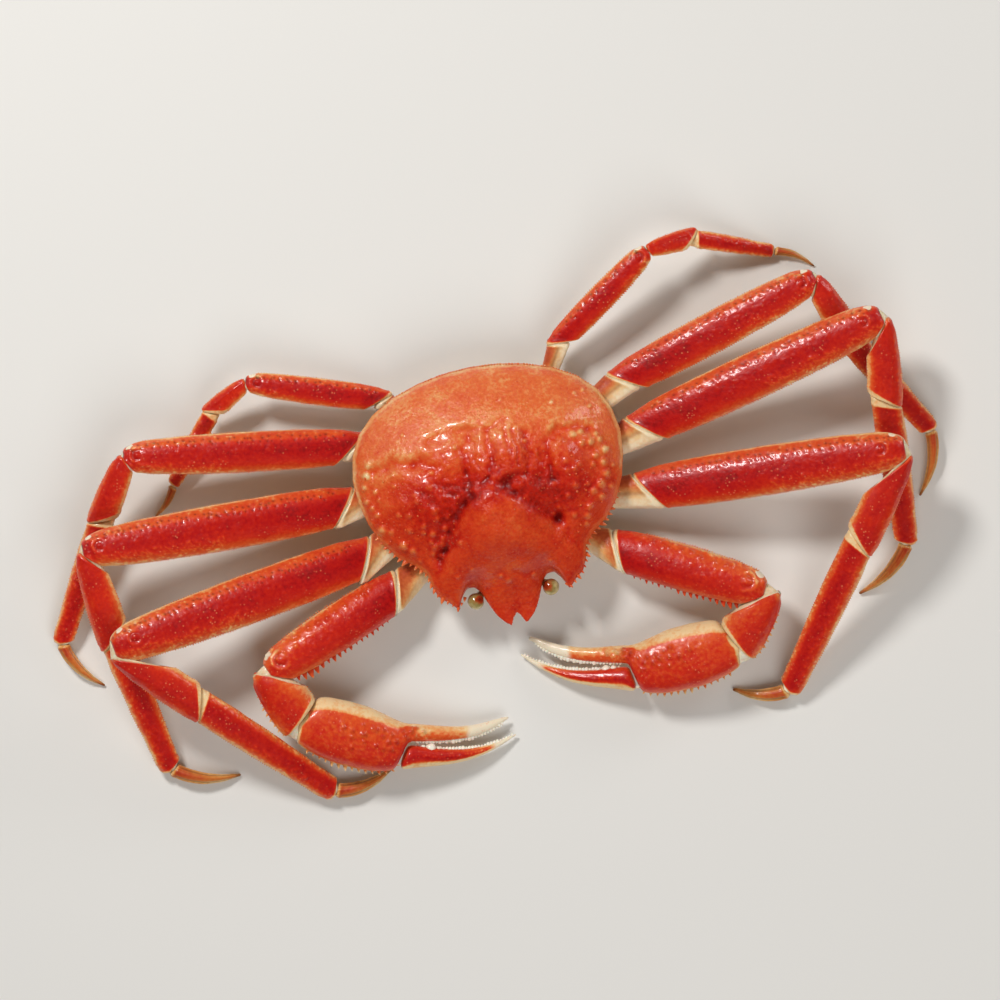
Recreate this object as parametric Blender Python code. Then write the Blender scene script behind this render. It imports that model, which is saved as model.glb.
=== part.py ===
"""Cooked snow crab, whole, lying on its belly with its eight legs and two claws folded.

The crab lies in its own frame: the rostrum points to -Y, +X is its left side and +Z is up.
Sizes are written in millimetres and turned to metres when a mesh is made. The frame's
origin is the middle of the whole crab's bounding box, on the plane that it rests on.
"""

import math

import bmesh
import bpy
import numpy as np
from mathutils import Matrix, Vector

# Driving dimensions, in millimetres and degrees.
MM = 0.001
GAP = 0.3
MARGIN_Z = 24.5
DOME_HEIGHT = 22.0
SHELL_UNDER_Z = 18.2
HUB = (3.0, 10.0)
SHARP_ANGLE = 50
SHELL_ROUGHNESS = 0.38

# The body under the carapace: its ends, then share of the outline and height at each ring.
BODY_FRONT_Y = -40.0
BODY_BACK_Y = 47.0
BODY_CENTRE = (0.0, 3.0, 0.0)
BODY_RINGS = ((0.84, 0.0), (0.96, 4.0), (1.0, 7.5), (1.0, 14.5), (0.94, 17.6))

# The tail flap under the body: a triangle that narrows forward to a rounded tip.
FLAP_DEPTH = 2.2
FLAP_BACK_Y = 40.0
FLAP_LENGTH = 56.0
FLAP_HALF_WIDTH = 10.5
FLAP_NARROWING = 5.8
FLAP_TIP = (2.2, -20.5)
FLAP_STEPS = 7
GROOVE_BELOW = 2.0

# The left eye: the root of its stalk and the middle of its ball.
EYE_ROOT = (11.0, -40.8, 15.5)
EYE_AT = (17.0, -46.4, 21.5)
EYE_SIDES = 10
# Radius of the eye and its stalk at each share of the way from its root to the ball's middle.
EYE_STALK = (
    (0.0, 1.6),
    (0.5, 1.7),
    (0.66, 2.4),
    (0.82, 3.6),
    (1.0, 4.0),
    (1.18, 3.3),
    (1.3, 1.8),
)

# Height, half width and half depth along a mouth limb.
MOUTH_LIMB = ((1.5, 3.0, 1.2), (4.0, 5.0, 1.8), (11.0, 5.6, 2.0), (16.0, 4.0, 1.2))
MOUTH_LIMB_X = 6.4
MOUTH_LIMB_OUT = 2.6
MOUTH_LIMB_LEAN = 0.06
MOUTH_LIMB_SIDES = 8

# Half of the carapace's outline, from the notch of the rostrum round to the middle of the back.
CARAPACE_OUTLINE = (
    (0.0, -54.5),
    (1.4, -56.8),
    (3.2, -60.2),
    (5.0, -59.2),
    (7.2, -57.0),
    (9.6, -53.2),
    (11.8, -48.5),
    (13.8, -43.0),
    (16.4, -40.2),
    (19.4, -40.0),
    (22.2, -43.4),
    (24.8, -48.8),
    (28.6, -44.8),
    (32.2, -42.0),
    (34.4, -37.0),
    (35.6, -31.0),
    (40.0, -26.0),
    (46.6, -21.2),
    (52.4, -14.0),
    (56.8, -4.5),
    (59.3, 5.5),
    (60.0, 16.0),
    (58.0, 26.5),
    (53.4, 35.5),
    (46.0, 42.8),
    (36.0, 48.6),
    (24.5, 52.4),
    (12.5, 54.8),
    (0.0, 55.6),
)

# Share of the outline at each ring of the carapace, from the margin to the hub.
SHELL_RINGS = (1.0, 0.965, 0.91, 0.84, 0.75, 0.64, 0.52, 0.39, 0.26, 0.13)
UNDER_RINGS = ((0.985, 21.4), (0.9, 19.2), (0.7, SHELL_UNDER_Z))
EASE_PASSES = 12
TEETH_FROM_RING = 0.72

# How the dome falls to the margin: its power, with more towards the front and its middle.
DOME_POWER = 0.60
FRONT_POWER = 0.15
ROSTRUM_POWER = 0.55
FRONT_FROM_Y = -12.0
FRONT_FADE = 40.0
ROSTRUM_HALF_WIDTH = 14.0

# How far the margin dips to the front and to the back, from which distance of the middle.
FRONT_DIP = 3.0
FRONT_DIP_FROM = 30.0
BACK_DIP = 2.0
BACK_DIP_FROM = 25.0
DIP_FADE = 30.0

# Raised and sunken regions of the back: x, y, radius across, radius along, height, turn.
BACK_REGIONS = (
    (-2.0, -10.0, 13.0, 17.0, 6.5, 0),
    (-13.0, -27.0, 13.0, 10.0, 3.0, 0),
    (13.0, -26.0, 13.0, 10.0, 3.0, 0),
    (9.0, 15.0, 8.0, 11.0, 4.6, 0),
    (4.0, 38.0, 26.0, 12.0, 1.6, 0),
    (-33.0, 22.0, 15.0, 15.0, 2.6, 0),
    (-36.0, -2.0, 13.0, 12.0, 4.2, 20),
    (38.0, 4.0, 12.0, 14.0, 4.2, -15),
    (34.0, 28.0, 15.0, 12.0, 2.4, 0),
    (-15.0, 2.0, 5.0, 11.0, -4.2, 35),
    (-22.0, -13.0, 4.0, 9.0, -4.0, -30),
    (25.0, -14.0, 5.5, 7.0, -4.6, 20),
    (22.0, 8.0, 4.5, 12.0, -3.6, 10),
    (-2.0, 7.0, 9.0, 4.5, -3.2, 0),
    (-33.0, 15.0, 13.0, 3.0, -2.2, 24),
    (30.0, 20.0, 12.0, 3.0, -2.2, -8),
)

# Where each limb leaves the body, on its left side: x, y and the way its wall facet looks.
ROOTS = {
    "claw": (36.0, -27.0, -40),
    "leg_1": (43.0, -11.0, -16),
    "leg_2": (44.5, 7.0, 2),
    "leg_3": (41.0, 24.0, 24),
    "leg_4": (30.0, 38.5, 52),
}
ROOT_Z = 10.5

# The pose: each segment's reach in plan and its heading, then the height of each joint.
SEGMENTS = ("ischium", "merus", "carpus", "propodus", "dactyl")
POSE = {
    "right_claw": (
        ((17, -152), (62, -158), (22, -71), (43, -27)),
        (15.5, 24, 19, 13),
    ),
    "right_leg_1": (
        ((19, -159), (110, -171), (41, -45), (70, -45), (26, 10)),
        (15.5, 40, 30, 4.6, 1.0),
    ),
    "right_leg_2": (
        ((21, -177), (111, 179), (38, -84), (62, -79), (30, -16)),
        (15.5, 35, 25, 4.6, 1.0),
    ),
    "right_leg_3": (
        ((18, 157), (97, 172), (28, -124), (57, -120), (26, -56)),
        (15.0, 29, 18, 4.2, 1.0),
    ),
    "right_leg_4": (
        ((15, 136), (59, 162), (19, -152), (37, -130), (16, -131)),
        (14.0, 19, 13, 3.0, 0.8),
    ),
    "left_claw": (
        ((16, -34), (62, -27), (22, -125), (43, -176)),
        (15.5, 24, 19, 13),
    ),
    "left_leg_1": (
        ((24, -3), (107, -2), (42, -126), (71, -125), (24, 168)),
        (15.5, 41, 30, 4.6, 1.0),
    ),
    "left_leg_2": (
        ((27, 17), (109, 14), (34, -96), (63, -91), (30, -144)),
        (15.5, 37, 26, 4.6, 1.0),
    ),
    "left_leg_3": (
        ((28, 28), (91, 17), (31, -68), (52, -58), (29, -110)),
        (15.0, 29, 18, 4.2, 1.0),
    ),
    "left_leg_4": (
        ((23, 62), (55, 35), (20, 6), (37, -19), (19, -31)),
        (14.0, 25, 17, 3.0, 0.8),
    ),
}

# Width of the merus of each limb. The other segments follow from it.
MERUS_WIDTH = {"claw": 20.5, "leg_1": 22.0, "leg_2": 21.0, "leg_3": 18.0, "leg_4": 11.8}
WIDTH_SHARE = {
    "ischium": 0.95,
    "merus": 1.0,
    "carpus": 0.74,
    "propodus": 0.67,
    "dactyl": 0.36,
}
CLAW_WIDTH_SHARE = {"ischium": 0.98, "merus": 1.0, "carpus": 1.06}
FLATNESS = {
    "ischium": 0.68,
    "merus": 0.60,
    "carpus": 0.66,
    "propodus": 0.60,
    "dactyl": 0.80,
}
CLAW_FLATNESS = {"ischium": 0.78, "merus": 0.74, "carpus": 0.78}

# Slant of a joint seen from above, in degrees: positive where the front edge reaches further.
SLANT = {"ischium": 38, "carpus": -30}
CLAW_SLANT = {"ischium": 34}
# How far the segments on both sides of a slanted joint run past its middle, as a share of width.
SLANT_OVERLAP = 0.42

# A folded joint: how far its size is from the limb's width, where the next segment starts
# (ahead and to the inside of the bend), and how far the rounded knee stands past the joint.
KNUCKLE_SHARE = (0.30, 0.35, 0.30, 0.22, 0.0)
CLAW_KNUCKLE_SHARE = (0.30, 0.35, 0.45, 0.0)
KNUCKLE_AHEAD = 0.5
KNUCKLE_INSIDE = 0.3
KNEE_REACH = 0.8
KNUCKLE_DROP = 0.1
FULL_BEND = 120

# How far a segment is made past its near joint before it is cut: at the body, at a joint,
# and more at a joint that bends.
ROOT_OVERRUN = 4.0
JOINT_OVERRUN = 0.5
BEND_OVERRUN = 0.3

# Outline of each segment: share of its length, share of its full width, share of its thickness.
OUTLINE = {
    "ischium": (
        (0.0, 0.50, 0.56),
        (0.16, 0.56, 0.62),
        (0.45, 0.72, 0.78),
        (0.72, 0.86, 0.90),
        (1.0, 0.96, 0.96),
    ),
    "merus": (
        (0.0, 0.66, 0.72),
        (0.07, 0.82, 0.84),
        (0.15, 0.91, 0.92),
        (0.29, 0.98, 0.98),
        (0.54, 1.0, 1.0),
        (0.77, 0.93, 0.98),
        (0.89, 0.83, 0.95),
        (0.95, 0.75, 0.88),
        (0.985, 0.60, 0.68),
        (1.0, 0.34, 0.38),
    ),
    "carpus": (
        (0.0, 0.44, 0.44),
        (0.06, 0.70, 0.68),
        (0.2, 0.86, 0.88),
        (0.5, 1.0, 1.0),
        (0.78, 1.02, 0.98),
        (1.0, 0.90, 0.86),
    ),
    "propodus": (
        (0.0, 0.92, 0.86),
        (0.08, 0.98, 0.94),
        (0.3, 1.0, 1.0),
        (0.58, 0.92, 0.92),
        (0.84, 0.78, 0.80),
        (0.94, 0.80, 0.84),
        (1.0, 0.58, 0.62),
    ),
    "dactyl": (
        (0.0, 0.60, 0.70),
        (0.07, 0.92, 1.0),
        (0.25, 0.88, 0.92),
        (0.5, 0.70, 0.76),
        (0.75, 0.46, 0.54),
        (0.92, 0.26, 0.32),
        (1.0, 0.10, 0.14),
    ),
}
CLAW_CARPUS_OUTLINE = (
    (-0.12, 0.40, 0.44),
    (-0.04, 0.76, 0.76),
    (0.15, 0.96, 0.96),
    (0.5, 1.0, 1.0),
    (0.85, 1.0, 0.98),
    (1.08, 0.86, 0.84),
)
SIDES = {"ischium": 8, "merus": 12, "carpus": 10, "propodus": 10, "dactyl": 8}
ARCH = {"ischium": 0.0, "merus": 0.03, "carpus": 0.05, "propodus": 0.02, "dactyl": 0.10}

# The claw from its wrist: distance along it, lower and upper edge, half of its thickness.
PALM = (
    (0.0, -8.6, 8.6, 5.4),
    (1.6, -11.4, 11.0, 7.2),
    (9.0, -13.7, 13.2, 8.4),
    (18.0, -15.2, 14.0, 8.9),
    (28.0, -15.0, 13.8, 8.8),
    (36.0, -14.2, 12.2, 8.2),
    (43.0, -12.2, 10.9, 7.2),
    (46.0, -10.4, 10.8, 6.4),
)
FIXED_FINGER = (
    (47.4, 3.3, 11.4, 4.6),
    (53.0, 4.6, 12.4, 4.2),
    (61.0, 7.0, 13.9, 3.8),
    (68.0, 9.4, 15.7, 3.3),
    (75.0, 12.6, 18.4, 2.7),
    (81.0, 16.6, 21.8, 2.0),
    (86.0, 21.6, 24.8, 1.1),
    (88.3, 24.6, 25.8, 0.5),
)
MOVABLE_FINGER = (
    (47.8, -8.2, 1.4, 4.4),
    (49.2, -9.4, 2.2, 5.4),
    (55.0, -6.8, 3.1, 4.9),
    (62.0, -4.3, 4.0, 4.2),
    (68.0, -1.9, 5.2, 3.6),
    (75.0, 1.6, 7.4, 3.0),
    (81.5, 5.9, 10.4, 2.2),
    (88.0, 11.6, 14.6, 1.4),
    (93.8, 18.4, 19.4, 0.5),
)
FINGER_DROP = 4.0
PALM_SIDES = 14
FINGER_SIDES = 10

# Shape of a ring: 1 is an ellipse and less fills its corners.
OVAL_POWER = 0.9
CLAW_POWER = 0.85
ROUND_POWER = 1.0

SHELL_RED = (0.56, 0.045, 0.012, 1.0)
SHELL_ORANGE = (0.72, 0.16, 0.035, 1.0)
CREAM = (0.80, 0.56, 0.30, 1.0)
TAN = (0.60, 0.26, 0.07, 1.0)
EYE_GREY = (0.20, 0.16, 0.07, 1.0)
COLOURS = {
    "ischium": CREAM,
    "merus": SHELL_RED,
    "carpus": SHELL_RED,
    "propodus": SHELL_RED,
    "dactyl": TAN,
    "palm": SHELL_ORANGE,
    "finger": CREAM,
}


def clear_scene():
    for item in list(bpy.data.objects):
        bpy.data.objects.remove(item, do_unlink=True)


def shell_material(name, colour):
    material = bpy.data.materials.new(name)
    material.use_nodes = True
    shader = material.node_tree.nodes["Principled BSDF"]
    shader.inputs["Base Color"].default_value = colour
    shader.inputs["Roughness"].default_value = SHELL_ROUGHNESS
    shader.inputs["Metallic"].default_value = 0.0
    return material


def add_object(name, bm, colour, collection, parent):
    """Closes a bmesh made in millimetres and makes it an object in metres."""
    bmesh.ops.recalc_face_normals(bm, faces=bm.faces)
    bmesh.ops.scale(bm, vec=(MM, MM, MM), verts=bm.verts)
    mesh = bpy.data.meshes.new(name)
    bm.to_mesh(mesh)
    bm.free()
    mesh.shade_smooth()
    mesh.set_sharp_from_angle(angle=math.radians(SHARP_ANGLE))
    mesh.materials.append(shell_material(name + "_finish", colour))
    item = bpy.data.objects.new(name, mesh)
    item.parent = parent
    collection.objects.link(item)
    return item


def loft(bm, rings):
    """Joins rings of points with quads and closes both ends."""
    loops = [[bm.verts.new(point) for point in ring] for ring in rings]
    count = len(loops[0])
    for near, far in zip(loops, loops[1:]):
        for i in range(count):
            j = (i + 1) % count
            bm.faces.new((near[i], near[j], far[j], far[i]))
    bm.faces.new(loops[0][::-1])
    bm.faces.new(loops[-1])


def oval_ring(centre, side, up, half_width, half_thickness, count, power=OVAL_POWER):
    """A rounded oval: a power under 1 fills its corners."""
    points = []
    for i in range(count):
        angle = 2 * math.pi * (i + 0.5) / count
        across = math.copysign(abs(math.cos(angle)) ** power, math.cos(angle))
        over = math.copysign(abs(math.sin(angle)) ** power, math.sin(angle))
        points.append(
            centre + side * (across * half_width) + up * (over * half_thickness)
        )
    return points


def trim(bm, point, normal):
    """Cuts away what lies past a plane and closes the cut."""
    if all((vert.co - point).dot(normal) < 0 for vert in bm.verts):
        return
    geometry = bm.verts[:] + bm.edges[:] + bm.faces[:]
    cut = bmesh.ops.bisect_plane(
        bm,
        geom=geometry,
        dist=1e-4,
        plane_co=point,
        plane_no=normal,
        clear_outer=True,
    )["geom_cut"]
    edges = [item for item in cut if isinstance(item, bmesh.types.BMEdge)]
    bmesh.ops.edgeloop_fill(bm, edges=edges)
    bmesh.ops.dissolve_degenerate(bm, dist=0.02, edges=bm.edges[:])


def axes_of(direction):
    side = Vector((0, 0, 1)).cross(direction).normalized()
    return side, direction.cross(side).normalized()


def segment_mesh(start, end, kind, outline, width, flatness, curl):
    """A limb segment between two joints, with its outline and a slight arch."""
    bm = bmesh.new()
    along = end - start
    side, up = axes_of(along.normalized())
    rings = []
    for share, wide, thick in outline:
        arch = ARCH[kind] * along.length * 4 * share * (1 - share)
        centre = start + along * share + up * arch * 0.6 - side * curl * arch
        rings.append(
            oval_ring(
                centre,
                side,
                up,
                wide * width / 2,
                thick * width * flatness / 2,
                SIDES[kind],
            )
        )
    loft(bm, rings)
    return bm


def heading_vector(heading):
    return Vector((math.cos(math.radians(heading)), math.sin(math.radians(heading)), 0))


def turn_between(first, second):
    return (second - first + 180) % 360 - 180


def limb_chain(root, path, heights, radii, slants):
    """The start, end, far joint plane and bend of each segment of one limb.

    Past a sharp bend the next segment starts beyond the end of the last one and the two
    part on a plane through the crease, as a folded joint does. Slants turn these planes.
    """
    chain = []
    start = Vector(root)
    for index, (reach, heading) in enumerate(path):
        end = start + heading_vector(heading) * reach
        end.z = heights[index]
        next_start = end.copy()
        plane_at = end.copy()
        normal = (end - start).normalized()
        bend = 0
        if index + 1 < len(path):
            next_heading = path[index + 1][1]
            turn = turn_between(heading, next_heading)
            bend = radii[index] * abs(turn) / FULL_BEND
            inner = heading_vector(heading + math.copysign(90, turn))
            ahead = heading_vector(heading) * KNUCKLE_AHEAD
            next_start = end + (ahead + inner * KNUCKLE_INSIDE) * bend
            next_start.z = end.z - KNUCKLE_DROP * bend
            plane_at = end + inner * bend
            next_end = next_start + heading_vector(next_heading) * path[index + 1][0]
            next_end.z = heights[index + 1]
            normal = (normal + (next_end - next_start).normalized()).normalized()
            normal.rotate(Matrix.Rotation(math.radians(slants[index]), 3, "Z"))
        chain.append((start, end, plane_at, normal, bend))
        start = next_start
    return chain


def build_limb(name, collection, parent):
    """One walking leg, or the arm of a claw up to its wrist."""
    side_name, kind = name.split("_", 1)
    flip = 1 if side_name == "left" else -1
    is_claw = kind == "claw"
    x, y, look = ROOTS[kind]
    facing = heading_vector(look)
    facing.x *= flip
    path, heights = POSE[name]
    full = MERUS_WIDTH[kind]
    shares = CLAW_WIDTH_SHARE if is_claw else WIDTH_SHARE
    flat = CLAW_FLATNESS if is_claw else FLATNESS
    knuckles = CLAW_KNUCKLE_SHARE if is_claw else KNUCKLE_SHARE
    radii = [share * full for share in knuckles]
    slant = CLAW_SLANT if is_claw else SLANT
    slants = [slant.get(step, 0) * flip for step in SEGMENTS]
    chain = limb_chain((x * flip, y, ROOT_Z), path, heights, radii, slants)
    steps = [step for step in SEGMENTS if step in shares]
    for index, step in enumerate(steps):
        start, end, plane_at, normal, bend = chain[index]
        along = (end - start).normalized()
        curl = 0
        if step == "dactyl":
            turn = turn_between(path[index - 1][1], path[index][1])
            curl = 1.0 if turn > 0 else -1.0
        overlap = full * SLANT_OVERLAP
        overrun = ROOT_OVERRUN
        if index:
            last_bend = chain[index - 1][4]
            overrun = JOINT_OVERRUN + last_bend * BEND_OVERRUN
            if slants[index - 1]:
                overrun = overlap
        outline = OUTLINE[step]
        if is_claw and step == "carpus":
            outline = CLAW_CARPUS_OUTLINE
        near = start - along * overrun
        far = end + along * (overlap if slants[index] else bend * KNEE_REACH)
        bm = segment_mesh(
            near, far, step, outline, full * shares[step], flat[step], curl
        )
        if index == 0:
            wall = Vector((x * flip, y, 0)) + facing * GAP
            trim(bm, wall, -facing)
        else:
            _, _, last_at, last_normal, _ = chain[index - 1]
            trim(bm, last_at + last_normal * GAP / 2, -last_normal)
        if index + 1 < len(chain):
            trim(bm, plane_at - normal * GAP / 2, normal)
        add_object(f"{name}_{step}", bm, COLOURS[step], collection, parent)
    return chain


def claw_rings(stations, origin, along, inward, up, count):
    rings = []
    last = MOVABLE_FINGER[-1][0]
    for distance, low, high, half in stations:
        past_palm = max(0.0, distance - PALM[-1][0]) / (last - PALM[-1][0])
        centre = origin + along * distance + inward * ((low + high) / 2)
        centre = centre - up * FINGER_DROP * past_palm**1.5
        rings.append(
            oval_ring(centre, inward, up, (high - low) / 2, half, count, CLAW_POWER)
        )
    return rings


def build_claw(name, chain, collection, parent):
    """The palm with its fixed finger, and the movable finger beside it."""
    start, end, _, _, _ = chain[3]
    _, _, wrist_at, wrist_normal, _ = chain[2]
    along = (end - start).normalized()
    side, up = axes_of(along)
    inward = side if name.startswith("right") else -side
    palm = bmesh.new()
    loft(
        palm,
        claw_rings(PALM + FIXED_FINGER, start, along, inward, up, PALM_SIDES),
    )
    trim(palm, wrist_at + wrist_normal * GAP / 2, -wrist_normal)
    add_object(f"{name}_palm", palm, COLOURS["palm"], collection, parent)
    finger = bmesh.new()
    loft(finger, claw_rings(MOVABLE_FINGER, start, along, inward, up, FINGER_SIDES))
    add_object(f"{name}_movable_finger", finger, COLOURS["finger"], collection, parent)


def carapace_outline():
    right = [Vector((x, y)) for x, y in CARAPACE_OUTLINE]
    left = [Vector((-point.x, point.y)) for point in right[-2:0:-1]]
    return right + left


def back_height(x, y, ring):
    """Height of the back over the margin: a dome, lower to the front, with its regions."""
    front = min(max((FRONT_FROM_Y - y) / FRONT_FADE, 0), 1)
    middle = math.exp(-((x / ROSTRUM_HALF_WIDTH) ** 2))
    power = DOME_POWER + ROSTRUM_POWER * front * middle + FRONT_POWER * front
    height = DOME_HEIGHT * (1 - ring**2) ** power
    fade = 1 - ring**6
    for at_x, at_y, across, lengthwise, rise, turn in BACK_REGIONS:
        cosine = math.cos(math.radians(turn))
        sine = math.sin(math.radians(turn))
        u = ((x - at_x) * cosine + (y - at_y) * sine) / across
        v = ((y - at_y) * cosine - (x - at_x) * sine) / lengthwise
        height += rise * fade * math.exp(-(u * u + v * v))
    return height


def margin_height(y):
    """The margin stands highest at the sides and dips a little to the front and back."""
    front = max(0.0, (-y - FRONT_DIP_FROM) / DIP_FADE)
    back = max(0.0, (y - BACK_DIP_FROM) / DIP_FADE)
    return MARGIN_Z - FRONT_DIP * front - BACK_DIP * back


def eased_outline(outline):
    """The outline without its teeth and notches, which the inner rings follow."""
    eased = outline
    for _ in range(EASE_PASSES):
        count = len(eased)
        eased = [
            (eased[i - 1] + eased[i] * 2 + eased[(i + 1) % count]) / 4
            for i in range(count)
        ]
    return eased


def build_carapace(collection, parent):
    bm = bmesh.new()
    outline = carapace_outline()
    eased = eased_outline(outline)
    hub = Vector(HUB)
    loops = []
    for ring, z in reversed(UNDER_RINGS):
        loops.append([(*(hub + (point - hub) * ring), z) for point in outline])
    for ring in SHELL_RINGS:
        loop = []
        toothed = max(0.0, (ring - TEETH_FROM_RING) / (1 - TEETH_FROM_RING))
        for point, smooth in zip(outline, eased):
            rim = smooth.lerp(point, toothed)
            at = hub + (rim - hub) * ring
            z = margin_height(smooth.y) + back_height(at.x, at.y, ring)
            loop.append((at.x, at.y, z))
        loops.append(loop)
    verts = [[bm.verts.new(point) for point in loop] for loop in loops]
    count = len(outline)
    for near, far in zip(verts, verts[1:]):
        for i in range(count):
            j = (i + 1) % count
            bm.faces.new((near[i], near[j], far[j], far[i]))
    bm.faces.new(verts[0][::-1])
    crown_z = MARGIN_Z + back_height(hub.x, hub.y, 0)
    crown = bm.verts.new((hub.x, hub.y, crown_z))
    for i in range(count):
        bm.faces.new((verts[-1][i], verts[-1][(i + 1) % count], crown))
    add_object("carapace", bm, SHELL_RED, collection, parent)


def meet(point_a, normal_a, point_b, normal_b):
    """Where two lines in plan cross, each given by a point and its normal."""
    matrix = np.array([[normal_a.x, normal_a.y], [normal_b.x, normal_b.y]])
    reach = np.array([normal_a.dot(point_a), normal_b.dot(point_b)])
    x, y = np.linalg.solve(matrix, reach)
    return Vector((x, y, 0))


def body_outline():
    """The body's plan: one wall facet for each limb, closed by a front and a back."""
    facets = [(Vector((0, BODY_FRONT_Y, 0)), Vector((0, -1, 0)))]
    for x, y, look in ROOTS.values():
        facets.append((Vector((x, y, 0)), heading_vector(look)))
    facets.append((Vector((0, BODY_BACK_Y, 0)), Vector((0, 1, 0))))
    half = [meet(*near, *far) for near, far in zip(facets, facets[1:])]
    return half + [Vector((-point.x, point.y, 0)) for point in reversed(half)]


def flap_outline(grow):
    """The tail flap folded under the body: a narrow triangle with a rounded tip."""
    points = []
    for i in range(FLAP_STEPS):
        share = i / (FLAP_STEPS - 1)
        half = FLAP_HALF_WIDTH - FLAP_NARROWING * share**0.8 + grow
        points.append((half, FLAP_BACK_Y + grow - FLAP_LENGTH * share))
    points.append((FLAP_TIP[0] + grow, FLAP_TIP[1] - grow))
    return points + [(-x, y) for x, y in reversed(points)]


def prism(bm, outline, low, high):
    loft(bm, [[Vector((x, y, z)) for x, y in outline] for z in (low, high)])


def build_body(collection, cutters, parent):
    """The block under the carapace, with a groove that takes the tail flap."""
    bm = bmesh.new()
    outline = body_outline()
    centre = Vector(BODY_CENTRE)
    rings = []
    for share, z in BODY_RINGS:
        rings.append(
            [centre + (p - centre) * share + Vector((0, 0, z)) for p in outline]
        )
    loft(bm, rings)
    body = add_object("body_underside", bm, CREAM, collection, parent)
    groove = bmesh.new()
    prism(groove, flap_outline(GAP), -GROOVE_BELOW, FLAP_DEPTH + GAP)
    cutter = add_object("flap_groove", groove, CREAM, cutters, parent)
    cutter.hide_render = True
    cutter.display_type = "WIRE"
    cut = body.modifiers.new("flap_groove", "BOOLEAN")
    cut.operation = "DIFFERENCE"
    cut.solver = "EXACT"
    cut.object = cutter
    flap = bmesh.new()
    prism(flap, flap_outline(0), 0.0, FLAP_DEPTH)
    add_object("tail_flap", flap, CREAM, collection, parent)


def build_mouth(collection, parent):
    """Two flat mouth limbs that close the front of the body under the rostrum."""
    for side_name, flip in (("left", 1), ("right", -1)):
        bm = bmesh.new()
        rings = []
        for z, half, deep in MOUTH_LIMB:
            y = BODY_FRONT_Y - MOUTH_LIMB_OUT - MOUTH_LIMB_LEAN * z
            centre = Vector((flip * MOUTH_LIMB_X, y, z))
            side, forward = Vector((1, 0, 0)), Vector((0, 1, 0))
            rings.append(oval_ring(centre, side, forward, half, deep, MOUTH_LIMB_SIDES))
        loft(bm, rings)
        add_object(f"{side_name}_mouth_limb", bm, CREAM, collection, parent)


def build_eyes(collection, parent):
    """Each eye is a ball on a short stalk that comes out from under the orbit."""
    for side_name, flip in (("left", 1), ("right", -1)):
        bm = bmesh.new()
        base = Vector((flip * EYE_ROOT[0], EYE_ROOT[1], EYE_ROOT[2]))
        along = Vector((flip * EYE_AT[0], EYE_AT[1], EYE_AT[2])) - base
        side, up = axes_of(along.normalized())
        rings = []
        for share, half in EYE_STALK:
            centre = base + along * share
            rings.append(oval_ring(centre, side, up, half, half, EYE_SIDES, ROUND_POWER))
        loft(bm, rings)
        add_object(f"{side_name}_eye", bm, EYE_GREY, collection, parent)


def centre_on_base(frame, collection):
    """Moves the whole crab so that the origin is the middle of its box, at the bottom."""
    corners = np.array(
        [vert.co[:] for item in collection.objects for vert in item.data.vertices]
    )
    low = corners.min(axis=0)
    high = corners.max(axis=0)
    middle = (low + high) / 2
    frame.location = (-middle[0], -middle[1], -low[2])


def main():
    clear_scene()
    crab = bpy.data.collections.new("cooked_crab")
    cutters = bpy.data.collections.new("cutters")
    bpy.context.scene.collection.children.link(crab)
    bpy.context.scene.collection.children.link(cutters)
    frame = bpy.data.objects.new("crab_frame", None)
    bpy.context.scene.collection.objects.link(frame)
    build_carapace(crab, frame)
    build_body(crab, cutters, frame)
    build_mouth(crab, frame)
    build_eyes(crab, frame)
    for name in POSE:
        chain = build_limb(name, crab, frame)
        if name.endswith("claw"):
            build_claw(name, chain, crab, frame)
    centre_on_base(frame, crab)


main()
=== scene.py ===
import math

import bpy
import numpy as np
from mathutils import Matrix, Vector, noise
from mathutils.bvhtree import BVHTree


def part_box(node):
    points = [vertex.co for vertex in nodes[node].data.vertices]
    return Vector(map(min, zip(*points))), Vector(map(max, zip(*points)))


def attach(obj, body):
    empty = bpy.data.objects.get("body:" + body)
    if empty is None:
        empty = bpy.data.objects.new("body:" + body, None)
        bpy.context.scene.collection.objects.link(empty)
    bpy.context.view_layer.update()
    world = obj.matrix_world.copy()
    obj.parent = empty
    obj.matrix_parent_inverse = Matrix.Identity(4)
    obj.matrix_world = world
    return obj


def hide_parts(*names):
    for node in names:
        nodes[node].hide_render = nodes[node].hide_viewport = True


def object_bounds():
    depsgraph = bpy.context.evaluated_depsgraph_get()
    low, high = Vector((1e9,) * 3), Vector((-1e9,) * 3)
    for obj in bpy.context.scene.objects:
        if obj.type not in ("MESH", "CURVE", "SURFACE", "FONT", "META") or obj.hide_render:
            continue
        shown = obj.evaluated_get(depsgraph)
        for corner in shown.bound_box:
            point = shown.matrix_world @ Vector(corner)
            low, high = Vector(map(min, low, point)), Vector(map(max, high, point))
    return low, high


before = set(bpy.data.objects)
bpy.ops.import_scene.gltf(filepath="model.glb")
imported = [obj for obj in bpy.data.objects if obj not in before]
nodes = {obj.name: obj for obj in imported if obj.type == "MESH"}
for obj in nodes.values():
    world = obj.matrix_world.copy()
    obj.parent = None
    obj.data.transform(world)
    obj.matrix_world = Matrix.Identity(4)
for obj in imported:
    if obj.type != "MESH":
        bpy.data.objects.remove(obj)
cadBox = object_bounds()
mm = 0.001
dice = np.random.default_rng(27)

# the crab's own middle: the tail flap lies on the middle line and ends 40 mm behind it
flapLow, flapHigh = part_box("tail_flap")
crabAt = np.array([(flapLow.x + flapHigh.x) / 2 / mm, flapHigh.y / mm - 40.0, 0.0])


# ---------- small helpers ----------
def unit(vector):
    return vector / np.linalg.norm(vector)


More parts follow.
